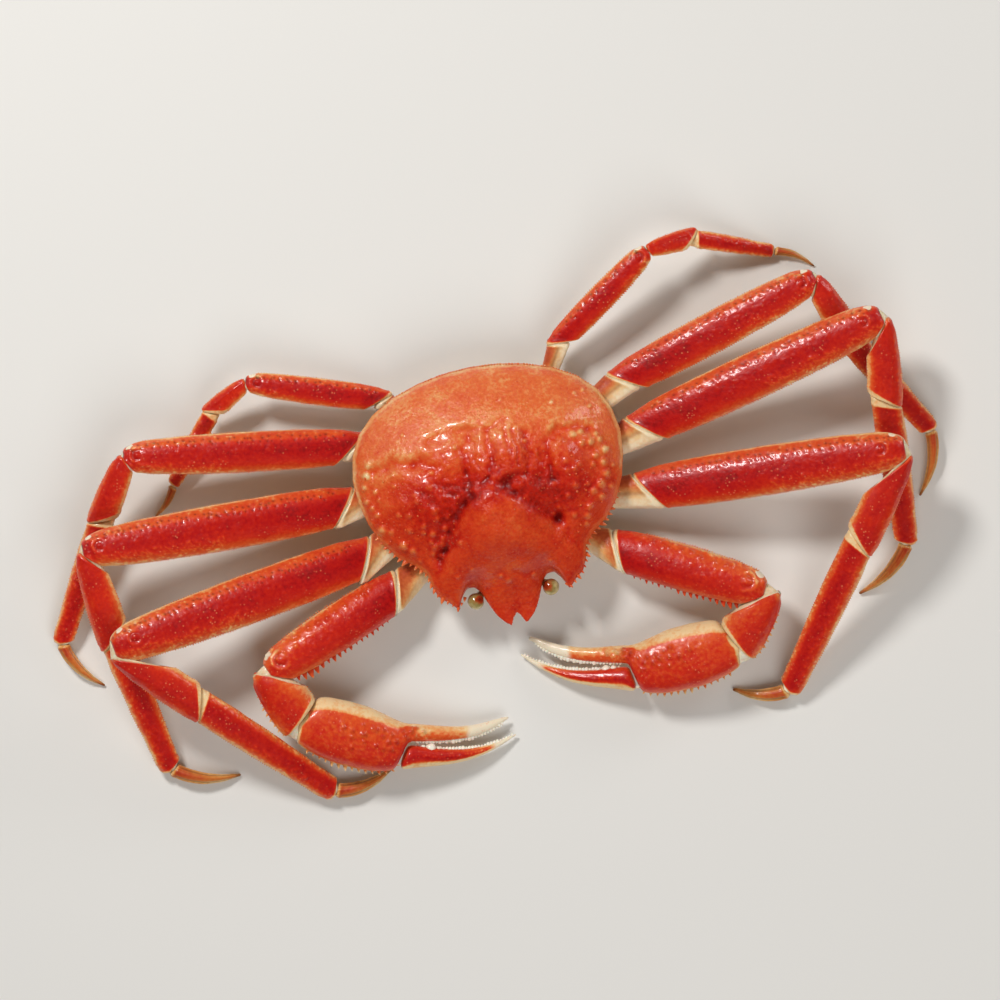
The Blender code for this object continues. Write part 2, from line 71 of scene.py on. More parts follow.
def smoothStep(value, low, high):
    share = np.clip((value - low) / (high - low), 0, 1)
    return share * share * (3 - 2 * share)


def paint(code):  # sRGB hex to linear
    parts = [int(code[i : i + 2], 16) / 255 for i in (0, 2, 4)]
    return (*(c / 12.92 if c <= 0.04045 else ((c + 0.055) / 1.055) ** 2.4 for c in parts), 1.0)


def grain(points, size, shift=0.0):  # smooth noise from -1 to 1, with features of this size
    offset = Vector((shift, shift * 1.7, shift * 0.6))
    return np.array([noise.noise(Vector(p) / size + offset) for p in points.tolist()])


def addNode(tree, kind, inputs=None, **settings):
    node = tree.nodes.new(kind)
    for name, value in settings.items():
        setattr(node, name, value)
    for socket, value in (inputs or {}).items():
        if isinstance(value, bpy.types.NodeSocket):
            tree.links.new(value, node.inputs[socket])
        else:
            node.inputs[socket].default_value = value
    return node


def bell(gap, wide):  # 1 on the spot, falling away smoothly
    return np.exp(-((gap / wide) ** 2))


def blend(first, second, share):
    return first * (1 - share) + second * share


def addMesh(name, points, faces, marks=None, edges=()):
    mesh = bpy.data.meshes.new(name)
    mesh.from_pydata((points * mm).tolist(), edges, faces)
    for label, values in (marks or {}).items():
        kind, key = ("FLOAT_VECTOR", "vector") if values.ndim == 2 else ("FLOAT", "value")
        mesh.attributes.new(label, kind, "POINT").data.foreach_set(key, values.ravel())
    mesh.shade_smooth()
    piece = bpy.data.objects.new(name, mesh)
    bpy.context.scene.collection.objects.link(piece)
    return piece


def trianglesOf(node):  # corners of a CAD node's triangles
    mesh = nodes[node].data
    spots = np.empty(len(mesh.vertices) * 3)
    mesh.vertices.foreach_get("co", spots)
    mesh.calc_loop_triangles()
    order = np.empty(len(mesh.loop_triangles) * 3, int)
    mesh.loop_triangles.foreach_get("vertices", order)
    return spots.reshape(-1, 3)[order].reshape(-1, 3, 3) / mm


def surfaceTree(node):
    corners = trianglesOf(node).reshape(-1, 3)
    return BVHTree.FromPolygons(corners.tolist(), [(i, i + 1, i + 2) for i in range(0, len(corners), 3)])


# which faces of two neighbours count as meeting: distances, and how squarely they face each other
meeting = {"near": 1.2, "spread": 0.3, "gap": 0.45, "opposed": 0.97, "level": 0.05, "parallel": 0.999}


def cutFace(node, other):
    # where a solid meets its neighbour, and the flat face it turns to it, if it has one
    corners = trianglesOf(node)
    tree = surfaceTree(other)
    spots = corners.reshape(-1, 3)
    gaps = np.array([tree.find_nearest(Vector(p))[3] for p in spots.tolist()])
    close = spots[gaps < max(meeting["near"], gaps.min() + meeting["spread"])]
    middles = corners.mean(axis=1)
    across = np.cross(corners[:, 1] - corners[:, 0], corners[:, 2] - corners[:, 0])
    area = np.linalg.norm(across, axis=1)
    normals = across / np.maximum(area, 1e-9)[:, None]
    facing = np.zeros(len(middles))
    for k, middle in enumerate(middles.tolist()):
        _, theirs, _, gap = tree.find_nearest(Vector(middle))
        if gap < meeting["gap"] and np.array(theirs) @ normals[k] < -meeting["opposed"]:
            facing[k] = area[k]
    face = {"at": (close.min(axis=0) + close.max(axis=0)) / 2, "normal": None}
    if facing.any():
        normal = normals[facing.argmax()]
        level = middles[facing.argmax()] @ normal
        flat = np.abs(middles @ normal - level) < meeting["level"]
        flat &= normals @ normal > meeting["parallel"]
        face["rim"] = corners[flat].reshape(-1, 3)
        face["level"] = face["rim"].mean(axis=0)
        face["normal"] = normal
    return face


def finish(piece, material, slot, *replaced):
    piece.data.materials.clear()
    piece.data.materials.append(material)
    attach(piece, "root")
    if replaced:
        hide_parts(*replaced)


# ---------- camera ----------
# aim, height above the floor and width of the view in mm, looking straight down with a turn in degrees
viewFrom = {"aim": (4.7, 7.5, 18.0), "turn": -11.0, "distance": 2200.0, "across": 440.0, "sensor": 36.0}

middle = (cadBox[0] + cadBox[1]) / 2
aimX, aimY, aimZ = viewFrom["aim"]
cameraData = bpy.data.cameras.new("camera")
cameraData.sensor_width = viewFrom["sensor"]
cameraData.lens = viewFrom["sensor"] * (viewFrom["distance"] - aimZ) / viewFrom["across"]
cameraData.clip_end = 20.0
camera = bpy.data.objects.new("camera", cameraData)
camera.location = (middle.x + aimX * mm, middle.y + aimY * mm, viewFrom["distance"] * mm)
camera.rotation_euler = (0.0, 0.0, math.radians(viewFrom["turn"]))
bpy.context.scene.collection.objects.link(camera)
bpy.context.scene.camera = camera
print("camera placed")


# ---------- materials ----------
def newMaterial(name, values):
    material = bpy.data.materials.new(name)
    material.use_nodes = True
    shader = material.node_tree.nodes["Principled BSDF"]
    for label, value in values.items():
        shader.inputs[label].default_value = value
    return material, material.node_tree, shader


def readMark(tree, label):
    return addNode(tree, "ShaderNodeAttribute", attribute_name=label).outputs["Fac"]


def clouds(tree, size, detail):  # noise with features of this many millimetres
    spot = addNode(tree, "ShaderNodeTexCoord").outputs["Object"]
    settings = {"Vector": spot, "Scale": 1000 / size, "Detail": detail}
    return addNode(tree, "ShaderNodeTexNoise", settings).outputs["Fac"]


def cells(tree, size, feature="F1"):
    spot = addNode(tree, "ShaderNodeTexCoord").outputs["Object"]
    settings = {"Vector": spot, "Scale": 1000 / size}
    return addNode(tree, "ShaderNodeTexVoronoi", settings, feature=feature).outputs["Distance"]


def mapped(tree, value, low, high, start=0.0, end=1.0):
    return addNode(tree, "ShaderNodeMapRange", {0: value, 1: low, 2: high, 3: start, 4: end}).outputs[0]


def combined(tree, operation, *values):
    return addNode(tree, "ShaderNodeMath", dict(enumerate(values)), operation=operation).outputs[0]


def mixed(tree, share, first, second):
    return addNode(tree, "ShaderNodeMix", {0: share, 6: first, 7: second}, data_type="RGBA").outputs[2]


def ramped(tree, value, colours):  # colours by their places on the scale
    ramp = addNode(tree, "ShaderNodeValToRGB", {0: value})
    stops = ramp.color_ramp.elements
    while len(stops) < len(colours):
        stops.new(0.5)
    for stop, (place, code) in zip(stops, colours.items()):
        stop.position = place
        stop.color = paint(code)
    return ramp.outputs[0]


def shellMaterial(name, look):
    # tone picks the colour; the dark mark deepens it in pits, on some tubercles and at the leg tips, and is
    # painted shade in furrows, grooves and creases; pale uncovers white skin
    film = {"Coat Weight": look["wet"], "Coat Roughness": 0.12, "IOR": 1.5, "Specular IOR Level": 0.36}
    glow = {"Subsurface Weight": look["glow"], "Subsurface Radius": (0.0016, 0.0005, 0.0003)}
    material, tree, shader = newMaterial(name, film | glow | {"Subsurface Scale": 1.0})
    tone, hollow, pale = (readMark(tree, label) for label in ("tone", "hollow", "pale"))
    broad = clouds(tree, look["cloud"], 3.0)
    drift = mapped(tree, broad, 0.3, 0.7, -look["cloudBy"], look["cloudBy"])
    mottle = mapped(tree, clouds(tree, look["mottle"], 4.0), 0.32, 0.68, -look["mottleBy"], look["mottleBy"])
    moved = combined(tree, "ADD", combined(tree, "ADD", tone, drift), mottle)
    # the dark colour is partly pigment, and partly painted shade in furrows, grooves and creases
    colour = mixed(tree, hollow, ramped(tree, moved, look["colours"]), paint(look["darkAndShadeColour"]))
    # pale skin comes through in ragged patches
    covered = mapped(tree, combined(tree, "ADD", pale, mottle), 0.35, 0.65)
    colour = mixed(tree, covered, colour, paint(look["paleColour"]))
    # light flecks where the pigment is thin
    dots = mapped(tree, cells(tree, look["fleckSize"]), 0.28, 0.12)
    sparse = mapped(tree, broad, 0.48, 0.62, 0.0, look["fleckBy"])
    colour = mixed(tree, combined(tree, "MULTIPLY", dots, sparse), colour, paint(look["fleckColour"]))
    tree.links.new(colour, shader.inputs["Base Color"])
    # pores and tiny granules
    granules = cells(tree, look["granuleSize"], "SMOOTH_F1")
    relief = combined(tree, "MULTIPLY_ADD", granules, -1.0, clouds(tree, look["poreSize"], 3.0))
    bump = addNode(tree, "ShaderNodeBump", {"Height": relief, "Strength": look["bump"], "Distance": 0.0003})
    tree.links.new(bump.outputs[0], shader.inputs["Normal"])
    tree.links.new(mapped(tree, broad, 0.3, 0.7, *look["gloss"]), shader.inputs["Roughness"])
    return material


# sizes are millimetres; the colours run from cream edges over orange to deep red
limbColours = {
    "colours": {0.0: "EBCB98", 0.14: "E8A765", 0.30: "DE5A24", 0.55: "CA2812", 0.80: "B0100F", 1.0: "700608"},
    "cloud": 9.0,
    "cloudBy": 0.07,
    "mottle": 1.6,
    "mottleBy": 0.07,
    "darkAndShadeColour": "5A0D0C",
    "paleColour": "EBDCC0",
    "fleckSize": 1.7,
    "fleckBy": 0.55,
    "fleckColour": "E88A5C",
    "poreSize": 0.5,
    "granuleSize": 1.1,
    "bump": 0.30,
    "gloss": (0.30, 0.46),
    "wet": 0.28,
    "glow": 0.10,
}
backColours = limbColours | {
    "colours": {0.0: "EBCB98", 0.14: "E9A868", 0.32: "E06C34", 0.52: "D6441C", 0.72: "C0200E", 1.0: "760A08"},
    "cloud": 12.0,
    "wet": 0.42,
    "gloss": (0.22, 0.38),
    "fleckColour": "F0B080",
    "fleckBy": 0.2,
    "bump": 0.7,
}
tipColours = limbColours | {
    "colours": {0.0: "E6C48C", 0.2: "D69A54", 0.45: "C4702F", 0.7: "B8431F", 1.0: "8E2016"},
    "darkAndShadeColour": "3E2012",
    "fleckBy": 0.1,
}
baseColours = limbColours | {
    "colours": {0.0: "EFDDB8", 0.2: "E8C48E", 0.45: "DDA060", 0.7: "CE6A38", 1.0: "A83220"},
    "darkAndShadeColour": "8A4A28",
    "fleckBy": 0.2,
    "wet": 0.3,
}
skinColours = limbColours | {
    "colours": {0.0: "EFE4CE", 0.3: "E4CFA8", 0.6: "D2A878", 0.8: "C07A50", 1.0: "8C4A30"},
    "darkAndShadeColour": "9A6A4A",
    "fleckBy": 0.0,
    "granuleSize": 2.0,
    "glow": 0.3,
}
toothColours = limbColours | {
    "colours": {0.0: "F4EBDA", 0.3: "EFDDC0", 0.6: "E2BC90", 0.8: "CF8A5C", 1.0: "A84A30"},
    "darkAndShadeColour": "8A5A3A",
    "fleckBy": 0.0,
    "glow": 0.2,
}
# boiled crab shell: opaque red over a cream layer, with a soft shine of cooking water
limbShell = shellMaterial("boiled_limb_shell", limbColours)
# the same shell on the back: wetter and coarser, with broad sharp highlights
backShell = shellMaterial("boiled_back_shell", backColours)
# thin horn of the leg tips: tan with rusty streaks, smooth
tipShell = shellMaterial("horn_leg_tip", tipColours)
# unpigmented shell of the belly and the leg bases: cream, satin
baseShell = shellMaterial("cream_under_shell", baseColours)
# soft skin between the segments: ivory, letting some light through
jointSkin = shellMaterial("joint_skin", skinColours)
# hard horn of the claw teeth: near white, slightly clear
toothHorn = shellMaterial("claw_tooth", toothColours)
print("materials made")


# ---------- what sits on the shell: beads and spines ----------
def beadMesh(name, sides, lean, profile):
    # rings of radius, height and tip share, closed below and by a pole above
    rings = profile[:-1]
    points = []
    tips = []
    for radius, height, tip in rings:
        for k in range(sides):
            angle = 2 * math.pi * k / sides
            x = radius * math.cos(angle) + lean * height * height
            points.append((x, radius * math.sin(angle), height))
            tips.append(tip)
    top, bottom = len(points), len(points) + 1
    points += [(lean * profile[-1][1] ** 2, 0, profile[-1][1]), (0, 0, profile[0][1] - 0.05)]
    tips += [1.0, 0.0]
    faces = []
    for ring in range(len(rings) - 1):
        for k in range(sides):
            a, b = ring * sides + k, ring * sides + (k + 1) % sides
            faces.append((a, b, b + sides, a + sides))
    last = (len(rings) - 1) * sides
    for k in range(sides):
        faces.append((last + k, last + (k + 1) % sides, top))
        faces.append(((k + 1) % sides, k, bottom))
    shape = addMesh(name, np.array(points, float), faces, {"tip": np.array(tips)})
    shape.hide_render = True
    return shape


# number of sides, lean, and the profile from the foot to the point, for a bead of radius 1
pearlProfile = ((1.0, -0.4, 0.0), (0.98, 0.0, 0.15), (0.8, 0.45, 0.5), (0.42, 0.76, 0.9), (0, 0.86, 1))
spineProfile = ((1.0, -0.6, 0.0), (0.86, 0.2, 0.1), (0.6, 0.95, 0.4), (0.32, 1.65, 0.8), (0, 2.1, 1))
toothProfile = ((1.0, -0.6, 0.0), (0.96, 0.1, 0.2), (0.72, 0.65, 0.6), (0.36, 1.05, 0.9), (0, 1.2, 1))
beadLooks = {
    "pearl": (8, 0.0, pearlProfile),
    "spine": (7, 0.08, spineProfile),
    "tooth": (8, 0.0, toothProfile),
}
beadShapes = {name: beadMesh(name, *look) for name, look in beadLooks.items()}


def newTree(name, *more):
    tree = bpy.data.node_groups.new(name, "GeometryNodeTree")
    tree.interface.new_socket("Geometry", in_out="OUTPUT", socket_type="NodeSocketGeometry")
    always = ("Geometry", "Geometry"), ("Shape", "Object"), ("Material", "Material")
    for label, kind in (*always, ("Spacing", "Float"), ("Seed", "Int"), *more):
        tree.interface.new_socket(label, in_out="INPUT", socket_type="NodeSocket" + kind)
    return tree, addNode(tree, "NodeGroupInput").outputs


def readField(tree, label, kind="FLOAT"):
    return addNode(tree, "GeometryNodeInputNamedAttribute", {"Name": label}, data_type=kind).outputs[0]


def placeShapes(tree, given, points, rotation):
    # instances of the shape at these points, a little uneven in size and turn, made real
    shape = addNode(tree, "GeometryNodeObjectInfo", {"Object": given["Shape"]}).outputs["Geometry"]
    drawn = []
    for low, high in ((0.72, 1.25), (-0.5, 0.5)):
        settings = {2: low, 3: high, "Seed": given["Seed"]}
        drawn.append(addNode(tree, "FunctionNodeRandomValue", settings, data_type="FLOAT").outputs[1])
    uneven, spin = drawn
    scale = combined(tree, "MULTIPLY", readField(tree, "size"), uneven)
    turn = addNode(tree, "ShaderNodeCombineXYZ", {"Z": spin}).outputs[0]
    turned = addNode(tree, "FunctionNodeRotateRotation", {0: rotation, 1: turn}, rotation_space="LOCAL")
    settings = {"Points": points, "Instance": shape, "Rotation": turned.outputs[0], "Scale": scale}
    placed = addNode(tree, "GeometryNodeInstanceOnPoints", settings)
    real = addNode(tree, "GeometryNodeRealizeInstances", {0: placed.outputs[0]})
    coated = addNode(tree, "GeometryNodeSetMaterial", {0: real.outputs[0], "Material": given["Material"]})
    addNode(tree, "NodeGroupOutput", {0: coated.outputs[0]})


def makeRowTree():  # spines or teeth at an even spacing along drawn lines
    tree, given = newTree("toothRow")
    curve = addNode(tree, "GeometryNodeMeshToCurve", {0: given["Geometry"]}).outputs[0]
    settings = {"Curve": curve, "Length": given["Spacing"]}
    even = addNode(tree, "GeometryNodeResampleCurve", settings, mode="LENGTH")
    outward = readField(tree, "outward", "FLOAT_VECTOR")
    aimed = addNode(tree, "FunctionNodeAlignRotationToVector", {"Vector": outward}, axis="Z")
    placeShapes(tree, given, even.outputs[0], aimed.outputs[0])
    return tree


def makeScatterTree():  # beads thrown over a skin, denser where its "crowd" is higher
    tree, given = newTree("beadScatter", ("Density", "Float"))
    settings = {"Mesh": given["Geometry"], "Density Factor": readField(tree, "crowd"), "Seed": given["Seed"]}
    settings |= {"Distance Min": given["Spacing"], "Density Max": given["Density"]}
    thrown = addNode(tree, "GeometryNodeDistributePointsOnFaces", settings, distribute_method="POISSON")
    placeShapes(tree, given, thrown.outputs["Points"], thrown.outputs["Rotation"])
    return tree


rowTree = makeRowTree()
scatterTree = makeScatterTree()


def setBeads(name, tree, source, look):
    # runs a tree on a helper mesh and keeps the result as a plain mesh, toned from base to tip
    values = {"Shape": beadShapes[look["shape"]], "Material": look["material"], "Seed": look["seed"]}
    values |= {"Spacing": look["spacing"] * mm, "Density": look.get("density", 0.0)}
    modifier = source.modifiers.new("build", "NODES")
    modifier.node_group = tree
    for item in tree.interface.items_tree:
        if item.in_out == "INPUT" and item.name in values:
            modifier[item.identifier] = values[item.name]
    mesh = bpy.data.meshes.new_from_object(source.evaluated_get(bpy.context.evaluated_depsgraph_get()))
    mesh.name = name
    mesh.shade_smooth()
    tips = np.zeros(len(mesh.vertices))
    mesh.attributes["tip"].data.foreach_get("value", tips)
    base, tip = look["tones"]
    mesh.attributes.new("tone", "FLOAT", "POINT").data.foreach_set("value", base + (tip - base) * tips)
    for label in {"outward", "size", "crowd", "tip"} & {a.name for a in mesh.attributes}:
        mesh.attributes.remove(mesh.attributes[label])
    piece = bpy.data.objects.new(name, mesh)
    bpy.context.scene.collection.objects.link(piece)
    source.modifiers.remove(modifier)
    bpy.data.objects.remove(source)
    finish(piece, look["material"], look["slot"])
    print(name, len(mesh.polygons), "faces")


def drawLines(name, lines):
    # one helper mesh of separate lines; each has points, outward directions and sizes
    points, outward, sizes = (np.concatenate(parts) for parts in zip(*lines))
    edges = []
    first = 0
    for line, _, _ in lines:
        edges += [(first + k, first + k + 1) for k in range(len(line) - 1)]
        first += len(line)
    return addMesh(name, points, [], {"outward": outward, "size": sizes}, edges)


# ---------- limb skins ----------
def blurAlong(grid, reach):  # softens a grid from station to station
    steps = max(1, int(reach * 2.5))
    weights = np.exp(-0.5 * (np.arange(-steps, steps + 1) / reach) ** 2)
    weights /= weights.sum()
    padded = np.concatenate([grid[:1].repeat(steps, 0), grid, grid[-1:].repeat(steps, 0)])
    return sum(w * padded[k : k + len(grid)] for k, w in enumerate(weights))


def blurRound(grid, reach):  # softens a grid round the section
    steps = int(reach * 2.5)
    weights = np.exp(-0.5 * (np.arange(-steps, steps + 1) / reach) ** 2)
    weights /= weights.sum()
    return sum(w * np.roll(grid, k - steps, axis=1) for k, w in enumerate(weights))


def sectionAt(corners, at, rays, centre=None):
    # middle and radii of the solid's section at this distance along its axis
    over = corners[:, :, 0] > at
    cut = corners[over.any(1) & ~over.all(1)]
    spots = np.zeros((3, len(cut), 2))
    hit = np.zeros((3, len(cut)), bool)
    for k in range(3):
        a, b = cut[:, k], cut[:, (k + 1) % 3]
        hit[k] = (a[:, 0] > at) != (b[:, 0] > at)
        span = np.where(hit[k], b[:, 0] - a[:, 0], 1.0)
        spots[k] = a[:, 1:] + (b[:, 1:] - a[:, 1:]) * ((at - a[:, 0]) / span)[:, None]
    order = np.argsort(~hit, axis=0, kind="stable")[:2]
    first = spots[order[0], np.arange(len(cut))]
    second = spots[order[1], np.arange(len(cut))]
    if centre is None:
        ends = np.vstack([first, second])
        return (ends.min(axis=0) + ends.max(axis=0)) / 2
    p = first - centre
    e = second - first
    dx, dy = rays[:, 0][:, None], rays[:, 1][:, None]
    cross = dx * e[:, 1] - dy * e[:, 0]
    cross = np.where(np.abs(cross) < 1e-9, 1e-9, cross)
    reach = (p[:, 0] * e[:, 1] - p[:, 1] * e[:, 0]) / cross
    share = (p[:, 0] * dy - p[:, 1] * dx) / cross
    good = (reach > 0) & (share > -0.01) & (share < 1.01)
    return np.where(good, reach, 0).max(axis=1)


def crossing(stations, over):  # where a row of values passes from above zero to below it
    above = np.nonzero(over > 0)[0]
    if len(above) == 0:
        return stations[0]
    k = min(above[-1], len(stations) - 2)
    share = np.clip(over[k] / max(over[k] - over[k + 1], 1e-6), 0, 1)
    return stations[k] + (stations[k + 1] - stations[k]) * share


def layOut(stations, centres, radii, rays):  # a grid of points from stations, middles and radii
    along = np.broadcast_to(stations[:, None, None], (*radii.shape, 1))
    return np.concatenate([along, centres[:, None] + radii[:, :, None] * rays], 2)


# lengths in mm: how far measuring keeps from the very ends, between stations, and from a cut face;
# the shortest skin; then shares: where the axis is set through, and the width that is left at an end
skinFit = {"ends": 0.02, "step": 0.5, "offCut": 0.12, "shortest": 0.6}
skinFit |= {"axisAt": (0.35, 0.65), "thinnest": 0.12}


def skinOf(name, start, end, flip, look, near, far):
    # the CAD segment as a fine, smooth grid from its near face to its far face,
    # round from the back edge over the top
    spokes = look["spokes"]
    angles = np.arange(spokes) * 2 * math.pi / spokes
    rays = np.stack([np.cos(angles), np.sin(angles)], 1)
    for attempt in range(3):
        axis = unit(end - start)
        back = unit(np.cross((0, 0, 1), axis)) * flip
        up = np.cross(axis, back) * flip
        turn = np.array([axis, back, up]).T
        corners = (trianglesOf(name) - start) @ turn
        low, high = corners[:, :, 0].min(), corners[:, :, 0].max()
        length = high - low
        if far is None or attempt == 2:
            break
        # the axis is set again through the middles of two whole sections
        places = [low + share * length for share in skinFit["axisAt"]]
        ends = [np.array([at, *sectionAt(corners, at, rays)]) for at in places]
        start, end = start + turn @ ends[0], start + turn @ ends[1]
    faces = []
    wholeFrom, wholeTo = low, high
    for face, isNear in ((near, True), (far, False)):
        if face is None or face["normal"] is None:
            continue
        rim = (face["rim"] - start) @ turn
        faces.append(((face["level"] - start) @ turn, face["normal"] @ turn, isNear))
        if isNear:
            wholeFrom = min(rim[:, 0].max(), low + 0.45 * length)
        else:
            wholeTo = max(rim[:, 0].min(), low + 0.55 * length)
    # whole sections give the middle line; past them it runs straight on
    step, shortest = skinFit["step"], skinFit["shortest"]
    stations = np.arange(low + skinFit["ends"], high - skinFit["ends"] / 2, step)
    whole = stations[(stations >= wholeFrom) & (stations <= wholeTo)]
    middles = np.array([sectionAt(corners, at, rays) for at in whole])
    centres = np.zeros((len(stations), 2))
    lead = min(8, len(whole) - 1)
    for k in range(2):
        centres[:, k] = np.interp(stations, whole, middles[:, k])
        before, after = stations < whole[0], stations > whole[-1]
        slope = (middles[lead, k] - middles[0, k]) / (whole[lead] - whole[0])
        centres[before, k] = middles[0, k] + slope * (stations[before] - whole[0])
        slope = (middles[-1, k] - middles[-1 - lead, k]) / (whole[-1] - whole[-1 - lead])
        centres[after, k] = middles[-1, k] + slope * (stations[after] - whole[-1])
    radii = np.array([sectionAt(corners, at, rays, c) for at, c in zip(stations, centres)])
    spots = layOut(stations, centres, radii, rays)
    good = radii > 0.05
    for at, normal, _ in faces:
        good &= np.abs((spots - at) @ normal) > skinFit["offCut"]
    for j in range(spokes):
        if good[:, j].any():
            radii[:, j] = np.interp(stations, stations[good[:, j]], radii[good[:, j], j])
    soft = look.get("soft", 2.0) / step
    centres = blurAlong(centres, soft)
    radii = blurRound(blurAlong(radii, soft), spokes / 26)
    spots = layOut(stations, centres, radii, rays)
    # every spoke of the grid runs from one cut to the other
    begin = np.full(spokes, low + skinFit["ends"])
    finishAt = np.full(spokes, high - skinFit["ends"])
    lean = [1.0, 1.0]
    for at, normal, isNear in faces:
        over = (spots - at) @ normal
        lean[0 if isNear else 1] = abs(normal[0])
        for j in range(spokes):
            if isNear:
                begin[j] = max(begin[j], crossing(stations, over[:, j]))
            else:
                finishAt[j] = min(finishAt[j], -crossing(-stations[::-1], over[::-1, j]))
    tight = begin > finishAt - shortest
    begin[tight] = (begin[tight] + finishAt[tight]) / 2 - shortest / 2
    finishAt[tight] = begin[tight] + shortest
    count = int((finishAt - begin).max() / look["spacing"]) + 12
    share = np.linspace(0, 1, count)  # closer together towards the ends
    share = (0.75 * share + 0.25 * (0.5 - 0.5 * np.cos(math.pi * share)))[:, None]
    s = begin + (finishAt - begin) * share
    wide = np.stack([np.interp(s[:, j], stations, radii[:, j]) for j in range(spokes)], 1)
    middle = np.stack([np.interp(s, stations, centres[:, k]) for k in range(2)], 2)
    fromNear = (s - begin) * lean[0]
    toFar = (finishAt - s) * lean[1]
    for gap, bend in ((fromNear, look["round"][0]), (toFar, look["round"][1])):
        inset = bend - np.sqrt(np.maximum(bend**2 - np.clip(bend - gap, 0, bend) ** 2, 0))
        wide = np.maximum(wide - inset, wide * skinFit["thinnest"])
    spots = np.concatenate([s[:, :, None], middle + wide[:, :, None] * rays], 2)
    tangent = np.gradient(spots, axis=0)
    ring = (np.roll(spots, -1, 1) - np.roll(spots, 1, 1)) / 2
    normal = np.cross(ring, tangent)
    normal /= np.maximum(np.linalg.norm(normal, axis=2, keepdims=True), 1e-9)
    return {
        "name": name,
        "flip": flip,
        "frame": np.array([axis, back, up]),
        "start": start,
        "spots": spots,
        "normal": normal,
        "s": fromNear,
        "left": toFar,
        "u": share + np.zeros((1, spokes)),
        "angle": angles[None] + np.zeros((count, 1)),
        "v": wide * rays[:, 0] / np.maximum(np.abs(wide * rays[:, 0]).max(axis=1, keepdims=True), 0.3),
        "w": wide * rays[:, 1] / np.maximum(np.abs(wide * rays[:, 1]).max(axis=1, keepdims=True), 0.3),
        "length": length,
    }


def toWorld(skin, spots):
    return skin["start"] + spots @ skin["frame"]


def bumpsAt(skin, places, radius, height):
    # how far round bumps or pits at these stations and angles lift the skin, and which points are in one
    lift = np.zeros(skin["s"].shape)
    mark = np.zeros(skin["s"].shape)
    angles = skin["angle"][0]
    for at, angle, grow in places:
        j = np.abs((angles - angle + math.pi) % (2 * math.pi) - math.pi).argmin()
        k = np.abs(skin["s"][:, j] - at).argmin()
        lowest, highest = max(0, k - 16), k + 17
        gap = np.linalg.norm(skin["spots"][lowest:highest] - skin["spots"][k, j], axis=2)
        blob = np.exp(-((gap / (radius * grow)) ** 2))
        lift[lowest:highest] += blob * height * grow
        mark[lowest:highest] = np.maximum(mark[lowest:highest], blob)
    return lift, mark


def rowPlaces(skin, degrees, spacing, span):
    places = []
    for at in np.arange(span[0] * skin["length"], span[1] * skin["length"], spacing):
        angle = math.radians(degrees) + dice.normal(0, 0.05)
        places.append((at + dice.normal(0, 0.25) * spacing, angle, dice.uniform(0.75, 1.25)))
    return places


def scatterPlaces(skin, many, vSpan, uSpan):  # about so many to a square centimetre
    width = np.abs(skin["spots"][:, :, 1] - skin["spots"][:, :, 1].mean()).mean() * 4
    places = []
    for _ in range(int(many * skin["length"] * 2 * width / 100)):
        at = dice.uniform(*uSpan) * skin["length"]
        places.append((at, math.acos(dice.uniform(*vSpan)), dice.uniform(0.6, 1.4)))
    return places


# the knee: a knob in a ringed groove and a patch of white skin, with painted shade in the groove and a
# painted highlight on the ring; angles, then height and width in mm
kneeLook = {"knobAngle": 76, "patchAngle": 22, "knob": 0.55, "groove": (0.5, 0.6), "ring": (0.35, 0.8)}


def dressKnee(skin, look, lift, hollow, pale, tone):
    patchBack, knobBack, size = look["knee"]
    world = toWorld(skin, skin["spots"]).reshape(-1, 3)
    spots, left = skin["spots"], skin["left"]
    marks = (kneeLook["knobAngle"], knobBack, True), (kneeLook["patchAngle"], patchBack, False)
    for angle, back, isKnob in marks:
        j = int(angle / 360 * left.shape[1])
        k = np.abs(left[:, j] - back).argmin()
        gap = np.linalg.norm(spots - spots[k, j], axis=2)
        gap = np.where(left < skin["length"] * 0.5, gap, 99.0)
        if isKnob:
            gap = gap + 0.5 * grain(world, 3.0, 8.0).reshape(gap.shape)
            # the rings are open towards the near end
            opened = smoothStep(spots[:, :, 0] - spots[k, j, 0], -1.4 * size, 0.4 * size)
            lift += kneeLook["knob"] * bell(gap, 0.4 * size)
            lift -= kneeLook["groove"][0] * opened * bell(gap - 0.85 * size, kneeLook["groove"][1])
            lift += kneeLook["ring"][0] * opened * bell(gap - 1.4 * size, kneeLook["ring"][1])
            # painted shade in the groove round the knob
            hollow += 0.35 * opened * bell(gap - 0.85 * size, 0.45)
            # painted highlight: the raised ring is paler
            tone -= 0.2 * opened * bell(gap - 1.35 * size, 0.7)
        else:
            gap = gap + 0.9 * grain(world, 2.0, 3.0).reshape(gap.shape)
            pale += np.exp(-((gap / (0.75 * size)) ** 4))


